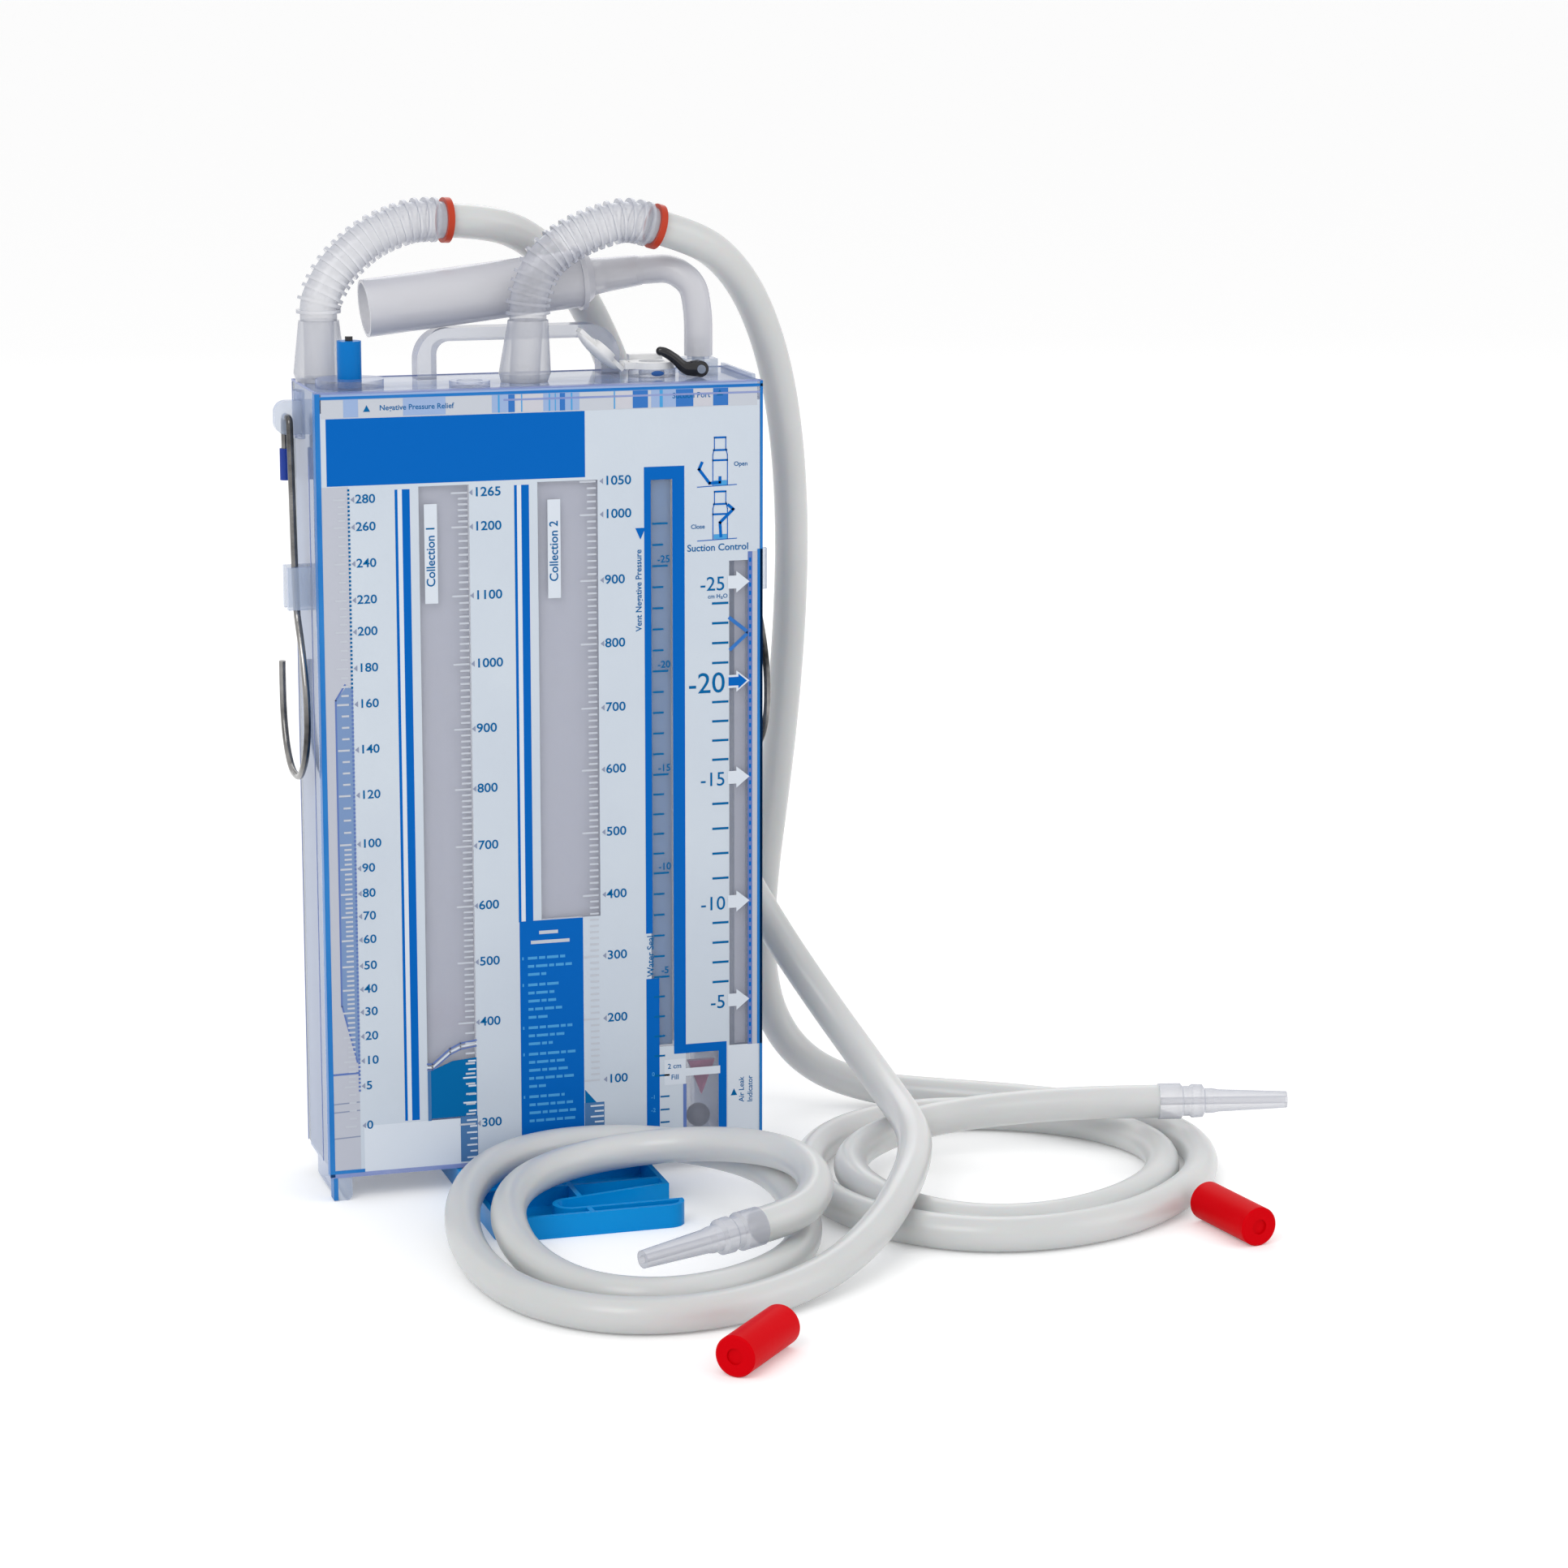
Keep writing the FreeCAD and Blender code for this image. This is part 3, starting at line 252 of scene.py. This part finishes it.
housing = clear_plastic("housing_clear", (0.56, 0.65, 0.80), edge_blue, 0.38, 0.9, 0.22)
panel = clear_plastic("panel_clear", (0.58, 0.62, 0.74), edge_blue, 0.14, 0.9, 0.3)
handle_clear = clear_plastic("handle_clear", (0.64, 0.68, 0.78), (0.07, 0.12, 0.34), 0.34, 0.98, 0.5)
soft_clear = clear_plastic("soft_clear", (0.68, 0.69, 0.74), (0.34, 0.37, 0.47), 0.36, 0.94, 0.35, 0.1)
milky_clear = clear_plastic("milky_clear", (0.76, 0.76, 0.80), (0.50, 0.51, 0.60), 0.55, 0.96, 0.35, 0.2)
for node, material in (
    ("chamber_body", housing), ("front_panel", panel), ("carry_handle", handle_clear),
    ("relief_collar", panel), ("sampling_plug", panel), ("lift_stem", housing), ("vent_ring", panel),
    ("pivot_stud", housing), ("inlet_cone_1", soft_clear), ("inlet_cone_2", soft_clear),
    ("spiral_sleeve_1", soft_clear), ("spiral_sleeve_2", soft_clear), ("filler_tube", milky_clear),
    ("syringe_barrel", milky_clear), ("tube_connector_1", soft_clear), ("tube_connector_2", soft_clear),
):
    nodes[node].data.materials.clear()
    nodes[node].data.materials.append(material)

# Port sockets: short clear tubes moulded in one with the deck, one below each port. They are open at
# the bottom, where cones, plug and valves draw on the chambers.
deck_underside = 371.5


def settle(name, mesh, material, body):
    """Turn a finished bmesh into a piece that rides on its body."""
    data = bpy.data.meshes.new(name)
    mesh.to_mesh(data)
    mesh.free()
    piece = add_object(name, data, material)
    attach(piece, body)
    return piece


sockets = bmesh.new()
for across, back, radius, low in (
    (-92, 16, 13, 350), (-83.5, -8, 12.5, 356), (0, -6, 13.5, 350), (-31, -18.5, 7.5, 358),
    (60, -3, 12, 354), (82.5, 0, 7, 350),
):
    middle = Vector((across, back, (deck_underside + low) / 2)) * MM
    bmesh.ops.create_cone(sockets, cap_ends=False, segments=40, radius1=radius * MM, radius2=radius * MM,
                          depth=(deck_underside - low) * MM, matrix=Matrix.Translation(middle))
socket_clear = clear_plastic("socket_clear", (0.60, 0.68, 0.86), edge_blue, 0.08, 0.9, 0.35)
piece = settle("port_sockets", sockets, socket_clear, "housing")
wall = piece.modifiers.new("wall", "SOLIDIFY")
wall.thickness = 1.4 * MM

# Edge glow: the flange and corners of the blue-tinted mouldings gather the tint and show as
# vivid lines, the rear ones as paler ones.
edge_line = plain_material("edge_line", (0.01, 0.17, 0.53), 0.3, alpha=0.94, specular_ior_level=0.2)
mottle(edge_line, (0.005, 0.16, 0.52), (0.02, 0.21, 0.58), 20, 0.05, 200)
edge_pale = plain_material("edge_pale", (0.26, 0.34, 0.66), 0.3, alpha=0.75, specular_ior_level=0.3)
mottle(edge_pale, (0.24, 0.32, 0.66), (0.34, 0.40, 0.68), 30, 0.05, 200)


def box_between(mesh, low, high):
    """A thin box between two corners in millimetres."""
    size = [(b - a) * MM for a, b in zip(low, high)]
    middle = [(a + b) / 2 * MM for a, b in zip(low, high)]
    bmesh.ops.create_cube(mesh, size=1, matrix=Matrix.Translation(middle) @ Matrix.Diagonal((*size, 1)))


for name, material, strips in (
    ("edge_lines", edge_line, (
        ((-104.3, -32.2, 12), (-103.9, -27.0, 375)), ((-102.8, -27.0, 12), (-102.4, -19, 373)),
        ((-104.2, -32.35, 11.5), (-102.0, -32.0, 375)), ((101.6, -32.4, 60), (104.2, -32.0, 297)),
        ((102.9, -32.4, 11.5), (104.2, -32.0, 375)), ((-104.2, -32.4, 372.4), (104.2, -32.0, 373.7)),
        ((-102.8, -32.3, 0.4), (-100.8, -32.0, 11.5)), ((-102.8, -32.2, 0.4), (-102.4, -25, 12)),
        ((-104, -32.4, 13), (-88, -32.0, 14.6)),
    )),
    ("edge_lines_pale", edge_pale, (
        ((-104.2, -32.35, 11.1), (104.2, -32.0, 13.2)), ((-18, -32.35, 369.4), (104.2, -32.0, 370.3)),
        ((-102.7, 31.2, 12), (-102.4, 32.2, 374)), ((102.4, 31.2, 12), (102.7, 32.2, 374)),
        ((-102.8, -27, 374.4), (-102.3, 32.2, 375.3)), ((-102.6, 31.8, 374.4), (102.6, 32.3, 375.3)),
        ((102.3, -27, 374.4), (102.8, 32.2, 375.3)), ((-102.7, -6, 12), (-102.4, -5, 340)),
        ((-104.2, -32.2, 374.6), (104.2, -27, 375.2)),
    )),
):
    lines = bmesh.new()
    for low, high in strips:
        box_between(lines, low, high)
    settle(name, lines, material, "housing")

# Side walls: the same clear plastic, seen through two thicknesses, so that they look an even blue grey.
# The tint is a thin film on each outer face, with a second layer at the height of the ports.
wall_tint = plain_material("wall_tint", (0.37, 0.41, 0.48), 0.35, alpha=0.62, specular_ior_level=0.3)
mottle(wall_tint, (0.34, 0.38, 0.45), (0.43, 0.47, 0.53), 12, 0.05, 200)
walls = bmesh.new()
for side in (-1, 1):
    for near, far, low, high in ((102.41, 102.45, 12.5, 374.4), (102.42, 102.47, 330, 374.2)):
        left, right_edge = sorted((side * near, side * far))
        box_between(walls, (left, -26.9, low), (right_edge, 32.1, high))
settle("wall_tint", walls, wall_tint, "housing")

# Solid mouldings: caps, rings, stand, button, lever, lid and seat in satin or gloss colours,
# with a faint grain and a slow drift in the colour.
solid_looks = {
    "label_film": ((0.55, 0.61, 0.69), (0.59, 0.65, 0.72), 0.35, 0.3, ["scale_label"]),
    "cap_red": ((0.60, 0.0, 0.003), (0.68, 0.0, 0.005), 0.4, 0.03, ["red_cap_1", "red_cap_2"]),
    "ring_orange": ((0.44, 0.035, 0.012), (0.50, 0.05, 0.02), 0.35, 0.2,
                    ["retaining_ring_1", "retaining_ring_2"]),
    "stand_blue": ((0.0, 0.26, 0.68), (0.0, 0.30, 0.74), 0.3, 0.12, ["floor_stand"]),
    "button_blue": ((0.0, 0.16, 0.52), (0.0, 0.19, 0.56), 0.3, 0.12, ["relief_button"]),
    "gloss_black": ((0.006, 0.006, 0.008), (0.012, 0.012, 0.014), 0.15, 0.5,
                    ["suction_lever", "relief_pin"]),
    "white_plastic": ((0.80, 0.80, 0.80), (0.86, 0.86, 0.86), 0.4, 0.4, ["vent_seat", "vent_lid"]),
    "hook_cap_blue": ((0.005, 0.03, 0.28), (0.01, 0.05, 0.33), 0.4, 0.3,
                      ["hook_cap_left", "hook_cap_right"]),
    "indicator_pink": ((0.60, 0.16, 0.32), (0.70, 0.24, 0.40), 0.3, 0.3, ["leak_wedge"]),
    "ball_dark": ((0.05, 0.045, 0.05), (0.08, 0.07, 0.08), 0.6, 0.4, ["float_ball"]),
}
for name, (colour, other, roughness, gloss, wearers) in solid_looks.items():
    material = plain_material(name, colour, roughness, specular_ior_level=gloss)
    mottle(material, colour, other, 14, 0.1, 400)
    for node in wearers:
        nodes[node].data.materials.clear()
        nodes[node].data.materials.append(material)

# Bed hooks: bent steel wire, plated bright, with a painted reflection of the room as dark patches in its
# colour. They hang from lugs on the side walls and fold down into side clips.
chrome = plain_material("wire_chrome", (0.40, 0.40, 0.41), 0.16, metallic=1.0)
# Painted reflection: the noise drifts the plating's colour between near black and bright, for the room
# mirrored in the wire.
mottle(chrome, (0.02, 0.02, 0.02), (0.40, 0.39, 0.38), 40, 0.05, 900)
for node in ("hook_left", "hook_right"):
    nodes[node].data.materials.clear()
    nodes[node].data.materials.append(chrome)

# Tip sheath: a flared sleeve of soft milky vinyl on the filler tube's end, pushed over the barrel's tip
# up to its flange.
barrel_tilt = math.radians(6.4)
way = Vector((math.cos(barrel_tilt), 0, math.sin(barrel_tilt)))
barrel_end = Vector((35.3, 18, 419.8))
sheath = bmesh.new()
for start, end, wide, narrow in ((0.3, 9, 8.6, 7.9), (9, 24, 7.9, 7.05)):
    middle = barrel_end + way * (start + end) / 2
    place = Matrix.Translation(middle * MM) @ way.to_track_quat("Z", "Y").to_matrix().to_4x4()
    bmesh.ops.create_cone(sheath, cap_ends=False, segments=48, radius1=wide * MM, radius2=narrow * MM,
                          depth=(end - start) * MM, matrix=place)
for face in sheath.faces:
    face.smooth = True
settle("tip_sheath", sheath, milky_clear, "housing")

# Ring mark: a small boss of dark-blue plastic, moulded and pressed into the front of the clear ring
# round the vent.
mark = bmesh.new()
middle = Vector((60, -10.7, 377.2)) * MM
bmesh.ops.create_uvsphere(mark, u_segments=24, v_segments=12, radius=1, matrix=Matrix.Translation(middle)
                          @ Matrix.Diagonal((3.1 * MM, 0.7 * MM, 1.3 * MM, 1)))
settle("ring_mark", mark, bpy.data.materials["hook_cap_blue"], "housing")

# Lid cover: a domed shell of white plastic, moulded on the outer face of the vent's flip lid. It swings
# with the lid about the pin at the vent seat.
lid_hinge = Vector((47.5, 0, 380.5))
leaf_turn = math.radians(137)
along = Vector((math.cos(leaf_turn), 0, math.sin(leaf_turn)))
outward = Vector((-along.z, 0, along.x))
dome = bmesh.new()
bmesh.ops.create_uvsphere(dome, u_segments=48, v_segments=24, radius=1)
bmesh.ops.delete(dome, geom=[vertex for vertex in dome.verts if vertex.co.z < -0.01], context="VERTS")
middle = (lid_hinge + along * 14.4 + outward * 3.65) * MM
axes = Matrix((along, Vector((0, 1, 0)), outward)).transposed().to_4x4()
dome.transform(Matrix.Translation(middle) @ axes @ Matrix.Diagonal((12.8 * MM, 6.9 * MM, 3.3 * MM, 1)))
for face in dome.faces:
    face.smooth = True
bmesh.ops.recalc_face_normals(dome, faces=dome.faces)
settle("lid_cover", dome, bpy.data.materials["white_plastic"], "lid")

# Lever grip: a rounded handle of glossy black plastic, moulded round the lever's hub and drawn out
# along its arm. It turns with the lever.
grip = ((60.3, 388.4, 1.0), (61.4, 387.9, 2.1), (65, 386.2, 2.3), (69, 383.2, 2.3), (71.8, 380.4, 2.6),
        (74, 379.2, 3.2), (76.5, 379.2, 3.6), (79, 379.1, 3.8), (80.8, 379.1, 3.6), (82.6, 379.1, 2.2),
        (83.6, 379.1, 0.9))
grip_depth = -10.95
line = bpy.data.curves.new("grip_line", "CURVE")
line.dimensions = "3D"
line.bevel_depth = MM
line.bevel_resolution = 6
line.use_fill_caps = True
spline = line.splines.new("NURBS")
spline.points.add(len(grip) - 1)
for point, (across, height, thick) in zip(spline.points, grip):
    point.co = (across * MM, 0, height * MM, 1)
    point.radius = thick
spline.order_u = 3
spline.use_endpoint_u = True


def mesh_from(line):
    """The curve's or the text's own mesh; the curve itself is removed."""
    holder = bpy.data.objects.new(line.name, line)
    bpy.context.collection.objects.link(holder)
    bpy.context.view_layer.update()
    drawn = bpy.data.meshes.new_from_object(holder)
    bpy.data.objects.remove(holder)
    bpy.data.curves.remove(line)
    return drawn


data = mesh_from(line)
data.transform(Matrix.Translation((0, grip_depth * MM, 0)) @ Matrix.Diagonal((1, 0.9, 1, 1)))
for face in data.polygons:
    face.use_smooth = True
piece = add_object("lever_grip", data, bpy.data.materials["gloss_black"])
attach(piece, "lever")

# Label print: bars, ticks, arrows and figures, screen printed in several inks. Each layer lies a
# hair in front of the label film; haze and water lie behind the panel.
label_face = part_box("scale_label")[0].y
panel_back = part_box("front_panel")[1].y
layer_step = 0.03 * MM
haze_gap = 0.4 * MM
font_size = 1.37
ink_colours = {
    "print_blue": (0.0, 0.12, 0.475), "print_teal": (0.0, 0.12, 0.33), "print_white": (0.66, 0.71, 0.78),
    "print_haze": (0.49, 0.51, 0.58), "print_tick": (0.53, 0.56, 0.62), "print_arrow": (0.26, 0.30, 0.42),
    "print_rib": (0.04, 0.17, 0.50), "print_port": (0.31, 0.42, 0.65), "print_window": (0.64, 0.64, 0.70),
    "print_riser": (0.19, 0.29, 0.50), "print_violet": (0.12, 0.19, 0.46),
    "print_script": (0.07, 0.33, 0.66), "print_glimpse": (0.0, 0.13, 0.36),
    "print_shade": (0.07, 0.18, 0.38), "print_water": (0.13, 0.30, 0.56),
}
inks = {
    name: plain_material(name, colour, 0.45, specular_ior_level=0.06, alpha=0.85 if "window" in name else 1)
    for name, colour in ink_colours.items()
}
sheets = {}


def flat_shape(ink, corners, layer=1, behind=False):
    """A flat shape before the label, or behind the panel, from (across, up) corners in millimetres."""
    mesh = sheets.setdefault(ink, bmesh.new())
    depth = (panel_back + haze_gap if behind else label_face) - layer * layer_step
    mesh.faces.new([mesh.verts.new((x * MM, depth, z * MM)) for x, z in corners])


def bar(ink, left, low, right_edge, high, layer=1, behind=False):
    """An upright rectangle."""
    flat_shape(ink, [(left, low), (right_edge, low), (right_edge, high), (left, high)], layer, behind)


def stroke(ink, points, width, layer=2):
    """A drawn line of even width through (across, up) points."""
    for start, end in zip(points, points[1:]):
        run = Vector((end[0] - start[0], end[1] - start[1]))
        side = Vector((-run.y, run.x)).normalized() * (width / 2)
        reach = run.normalized() * (width / 3)
        a, b = Vector(start) - reach, Vector(end) + reach
        flat_shape(ink, [a - side, b - side, b + side, a + side], layer)


def figures(ink, words, across, height, tall, turn=0, align="CENTER", layer=3, weight=0.02, wide=1.0):
    """Lettering with its middle at (across, height), tall millimetres high, turned on the label."""
    line = bpy.data.curves.new("lettering", "FONT")
    line.body = words
    line.size = tall * font_size * MM
    line.offset = tall * weight * MM
    line.resolution_u = 4
    line.align_x = align
    line.align_y = "CENTER"
    drawn = mesh_from(line)
    drawn.transform(Matrix.Translation((across * MM, label_face - layer * layer_step, height * MM))
                    @ Matrix.Rotation(math.radians(-turn), 4, "Y") @ Matrix.Rotation(math.pi / 2, 4, "X")
                    @ Matrix.Diagonal((wide, 1, 1, 1)))
    sheets.setdefault(ink, bmesh.new()).from_mesh(drawn)
    bpy.data.meshes.remove(drawn)


# Banner and column borders.
bar("print_blue", -99.5, 333.4, 19.7, 363.7)
for left, low in ((-68.7, 36), (-13.6, 127)):
    bar("print_blue", left, low, left + 1.3, 331)
    bar("print_blue", left + 3.3, low, left + 6.9, 331)
    bar("print_white", left + 1.3, low, left + 3.3, 331)
# Haze of the plastic in the chamber windows.
for left, low, right_edge, high in (
    (-57.8, 35, -34.3, 332), (-2.7, 127, 26.9, 332), (17.2, 14, 26.9, 127), (91.5, 60, 101.8, 296),
):
    bar("print_window", left, low, right_edge, high, 0, True)
# Strips and words of the two collection chambers.
for across, word in ((-52.4, "Collection 1"), (4.9, "Collection 2")):
    bar("print_white", across - 3, 278.3, across + 3, 323.8)
    figures("print_teal", word, across, 300, 4.1, turn=90)
# Over the label's top edge the walls of the ports behind show through in lighter and deeper blue.
bar("print_tick", -101.5, 363.8, 101.5, 374.6, 1)
bar("print_port", -101.5, 372.2, 101.5, 374.6, 2)
for ink, spans in (
    ("print_port", ((-91.4, -84.6), (-64.2, -44.7), (-23.4, -15.8), (0.4, 8.1), (10.6, 17.3), (51, 62.7))),
    ("print_window", ((-12.4, 0.4), (34.4, 41.7), (71, 79.8))),
    ("print_rib", ((-15.8, -12.8), (8.1, 10.6), (42.3, 49.5), (62.7, 71), (80.4, 87.6))),
    ("print_script", ((-20.6, -19.8), (-9.9, -9.3), (3, 3.6), (5.8, 6.3), (13.3, 14), (33.4, 34),
                      (55, 56.5))),
):
    for left, right_edge in spans:
        bar(ink, left, 364.2, right_edge, 372.2, 3 if ink == "print_script" else 2)
figures("print_teal", "Negative Pressure Relief", -58, 368, 2.5)
figures("print_teal", "Suction Port", 70, 369.2, 2.6)
for across, height, tall in ((-80.8, 368, 3), (83.6, 370.2, 2.8), (90.2, 37.1, 3.4)):
    flat_shape("print_teal", [(across - 1.6, height - tall / 2), (across + 1.6, height - tall / 2),
                              (across, height + tall / 2)], 3)

# First scale, on a clear strip at the left, with its dotted line and the riser behind it.
bar("print_haze", -102.7, 14, -89.8, 333)
flat_shape("print_riser", [(-97.2, 93), (-90.6, 66), (-89.4, 66), (-89.4, 241), (-92.5, 242),
                           (-97.4, 236)], 2)
stroke("print_violet", [(-97.4, 93), (-97.4, 236), (-93, 243)], 0.8, 3)
stroke("print_violet", [(-97.2, 93), (-90.6, 66)], 0.8, 3)
stroke("print_violet", [(-102.2, 60.6), (-90, 60.8)], 1.0, 2)
for height in (46.5, 42.5, 30):
    stroke("print_arrow", [(-102, height), (-90, height + 0.4)], 0.6, 2)
first_scale = {280: 327.2, 260: 314.7, 240: 298.1, 220: 281.5, 200: 267, 180: 250.3, 160: 233.8, 140: 212.7,
               120: 191.6, 100: 168.8, 90: 157.4, 80: 145.6, 70: 134.9, 60: 123.8, 50: 111.5, 40: 100.4,
               30: 89.6, 20: 78, 10: 66.4, 5: 54.4, 0: 35.4}
second_scale = {1265: 328.4, 1200: 312.8, 1100: 281.2, 1000: 249.7, 900: 219.5, 800: 191.4, 700: 164.6,
                600: 136.2, 500: 109.5, 400: 80.7, 300: 32}
third_scale = {1050: 331.3, 1000: 316, 900: 285.6, 800: 256.1, 700: 226.1, 600: 197, 500: 167.3, 400: 137.5,
               300: 108.2, 200: 78, 100: 48.3}


def scale_steps(scale, divisions):
    """Heights of all ticks on a scale, each with whether a figure belongs to it."""
    marks = list(scale.items())
    for (value, high), (following, low) in zip(marks, marks[1:]):
        count = divisions(value - following)
        for step in range(count):
            yield high + (low - high) * step / count, step == 0
    yield marks[-1][1], True


for scale, tick_right, long_tick, short_tick, figure_left, tall, divisions in (
    (first_scale, -91.4, 5.4, 3.4, -86.3, 4.1, lambda gap: 4 if gap == 20 else 5),
    (second_scale, -35.3, 7.6, 4.4, -32, 4.3, lambda gap: 10 if gap == 100 else 6),
    (third_scale, 24.6, 7.6, 4.2, 29, 4.3, lambda gap: 10 if gap == 100 else 5),
):
    for height, numbered in scale_steps(scale, divisions):
        reach = long_tick if numbered else short_tick
        bar("print_tick", tick_right - reach, height - 0.45, tick_right, height + 0.45, 4)
    for value, height in scale.items():
        figures("print_teal", str(value), figure_left - 0.5, height, tall, align="LEFT", wide=1.1)
        flat_shape("print_arrow", [(figure_left - 2.6, height), (figure_left - 0.9, height - 1.4),
                                   (figure_left - 0.9, height + 1.4)], 3)
dots = 150
for index in range(dots):
    height = 331 - index * 281 / dots
    bar("print_teal" if height > 240 else "print_violet", -90.3, height, -89.3, height + 1.0, 5)

# Foot of the chambers: the blue stand shows through the clear walls, with the floor's curved rim above it.
flat_shape("print_glimpse", [(-57.8, 36), (-34.5, 36), (-34.5, 64), (-46, 63), (-51, 61), (-57.8, 58.5)], 1)
bar("print_shade", -57.8, 35, -56.2, 59, 2)
for drop, ink, width in ((0, "print_violet", 0.8), (-1.6, "print_white", 0.9), (-2.8, "print_violet", 0.6)):
    stroke(ink, [(-57.8, 62.4 + drop), (-55.4, 62.2 + drop), (-47, 69 + drop), (-42, 71.2 + drop),
                 (-34.5, 72.2 + drop)], width, 3)
for height in range(38, 64, 4):
    bar("print_white", -38.5 if height % 3 else -41, height, -34.8, height + 0.8, 2)
bar("print_shade", -42.5, 14, -34.3, 35.8, 2)
for index in range(7):
    bar("print_white", -38 if index % 2 else -39.5, 15.5 + index * 3, -34.6, 16.3 + index * 3, 3)
flat_shape("print_glimpse", [(17.4, 44), (22.9, 37.5), (17.4, 37.5)], 2)
bar("print_shade", 17.2, 24, 26.7, 37.5, 1)
for index in range(5):
    bar("print_white", 22 if index % 2 else 20, 25 + index * 2.6, 26.4, 25.8 + index * 2.6, 3)
bar("print_white", -88, 12.6, -42.5, 35.2, 1)

# Instruction box, its text shown as plain dashes.
bar("print_blue", -13.3, 20, 17, 127.3, 2)
for height, left, reach in ((121.5, -4, 9), (117, -8, 18.5)):
    bar("print_tick", left, height - 0.8, left + reach, height + 0.8, 3)
words = (4.5, 3.0, 5.5, 2.4, 3.8)
row = 109.5
for paragraph in (
    (19, 21, 10), (15, 13, 15, 18, 10.5), (21, 19, 11.5), (23, 18, 19.5, 21.5, 8), (17, 21, 23, 22),
):
    bar("print_script", -12.2, row - 0.7, -11.5, row + 0.7, 3)
    for index, reach in enumerate(paragraph):
        across = -9.5
        turn = index
        while across < -9.5 + reach - 1.5:
            wide = min(words[turn % 5], -9.5 + reach - across)
            bar("print_script", across, row - 0.65, across + wide, row + 0.65, 3)
            across += wide + 0.8
            turn += 1
        row -= 3.9
    row -= 1.1

# Water seal: blue frame, window with its own scale, and the fill level of the leak chamber.
for left, low, right_edge, high in (
    (47.4, 331, 66.6, 337), (60.8, 62.3, 66.6, 331), (47.4, 117.3, 50.6, 331), (47.4, 13.3, 53.7, 95.4),
    (60.8, 58, 86.6, 62.3), (82.6, 13.3, 86.6, 58), (53.7, 13.3, 82.6, 17.7),
):
    bar("print_blue", left, low, right_edge, high, 2)
bar("print_water", 49.5, 62, 61, 331, 1, True)
seal_ticks = {0: 48, -5: 96, -10: 146, -15: 193, -20: 241.8, -25: 291, -27: 310.7}
for height, numbered in scale_steps(dict(reversed(seal_ticks.items())), lambda gap: abs(gap)):
    if height > 20:
        bar("print_teal", 51.2, height - 0.45, 58.6 if numbered else 56.4, height + 0.45, 3)
for value in (-25, -20, -15, -10, -5):
    figures("print_teal", str(value), 56.6, seal_ticks[value] + 3, 3.4)
for height in (37.6, 31.2, 25):
    bar("print_teal", 54, height - 0.4, 58.5, height + 0.4, 3)
for word, height in (("0", 48.8), ("-1", 37.6), ("-2", 31.2)):
    figures("print_script", word, 50.6, height, 2.0)
figures("print_teal", "Water Seal", 49.6, 106.4, 3.2, turn=90)
figures("print_teal", "Vent Negative Pressure", 44.8, 280, 2.9, turn=90)
flat_shape("print_blue", [(43.2, 309), (48, 309), (45.6, 303.6)], 3)
bar("print_white", 56, 43, 66.4, 55.4, 3)
figures("print_teal", "2 cm", 61, 52, 2.5, layer=4)
figures("print_teal", "Fill", 61.2, 46.6, 2.5, layer=4)
bar("print_white", 66.4, 46.8, 83.4, 50.6, 3)
bar("print_violet", 65.2, 18, 66.8, 43, 2)
bar("print_white", 87.2, 13, 102, 60.2, 2)
figures("print_teal", "Air Leak", 94, 38, 2.6, turn=90)
figures("print_teal", "Indicator", 98.2, 38, 2.6, turn=90)

# Suction scale: large figures, ticks, and arrows pointing into the window at the right edge.
suction_scale = {-25: 281.7, -20: 235, -15: 189.4, -10: 129.8, -5: 82}
for height, numbered in scale_steps(dict(suction_scale), lambda gap: 5):
    if not numbered:
        bar("print_teal", 79.7, height - 0.55, 87.6, height + 0.55, 3)
for value, height in suction_scale.items():
    main = value == -20
    figures("print_teal", str(value), 86.2, height - 0.5, 10 if main else 6.8, align="RIGHT",
            weight=0.004)
    for ink, grow, layer in (("print_white", 1, 5),) + ((("print_blue", 0, 6),) if main else ()):
        flat_shape(ink, [(87.6 - grow * 0.3, height - 1.8 - grow), (92.4 - grow, height - 1.8 - grow),
                         (92.4 - grow, height - 3.2 - 1.6 * grow), (96.6 + 1.2 * grow, height + 0.3),
                         (92.4 - grow, height + 3.8 + 1.6 * grow), (92.4 - grow, height + 2.3 + grow),
                         (87.6 - grow * 0.3, height + 2.3 + grow)], layer)
figures("print_teal", "cm H₂O", 82.5, 275.6, 2.0)
bar("print_violet", 97.0, 60, 99.2, 296, 3)
for index in range(60):
    bar("print_blue", 97.6, 61 + index * 3.9, 98.6, 63 + index * 3.9, 4)
bar("print_haze", 99.2, 60, 101.6, 296, 3)
stroke("print_rib", [(88.2, 265.2), (97.3, 258), (88.6, 250.4)], 1.7, 2)

# Small drawings of the suction lever, open and closed, beside their words.
for base, lever, word, across, height in (
    (327.4, [(83.6, 331), (83.6, 328.6), (78.6, 328.4), (73.6, 335), (75, 338)], "Open", 93.6, 336.9),
    (302.4, [(84, 303.6), (83.6, 310), (90, 316), (87.6, 318)], "Close", 73, 308.4),
):
    top = base + 22
    bar("print_script", 80.6, base, 86.9, base + 2.2, 3)
    for points, width in (
        ([(80.2, base), (80.2, base + 14), (81, base + 17), (81, top)], 0.45),
        ([(87.2, base), (87.2, base + 14), (86.4, base + 17), (86.4, top)], 0.45),
        ([(81, top), (86.4, top)], 0.9), ([(80.6, base + 16.2), (86.8, base + 16.2)], 0.9),
        ([(80.2, base + 11.5), (87.2, base + 11.5)], 0.9), ([(72.8, base - 0.6), (91.6, base)], 0.4),
    ):
        stroke("print_blue", points, width, 3)
    stroke("print_blue", lever, 1.4, 4)
    figures("print_teal", word, across, height, 2.1)
figures("print_teal", "Suction Control", 82.6, 298.4, 3.3)

for ink, mesh in sheets.items():
    settle("label_" + ink, mesh, inks[ink], "housing")
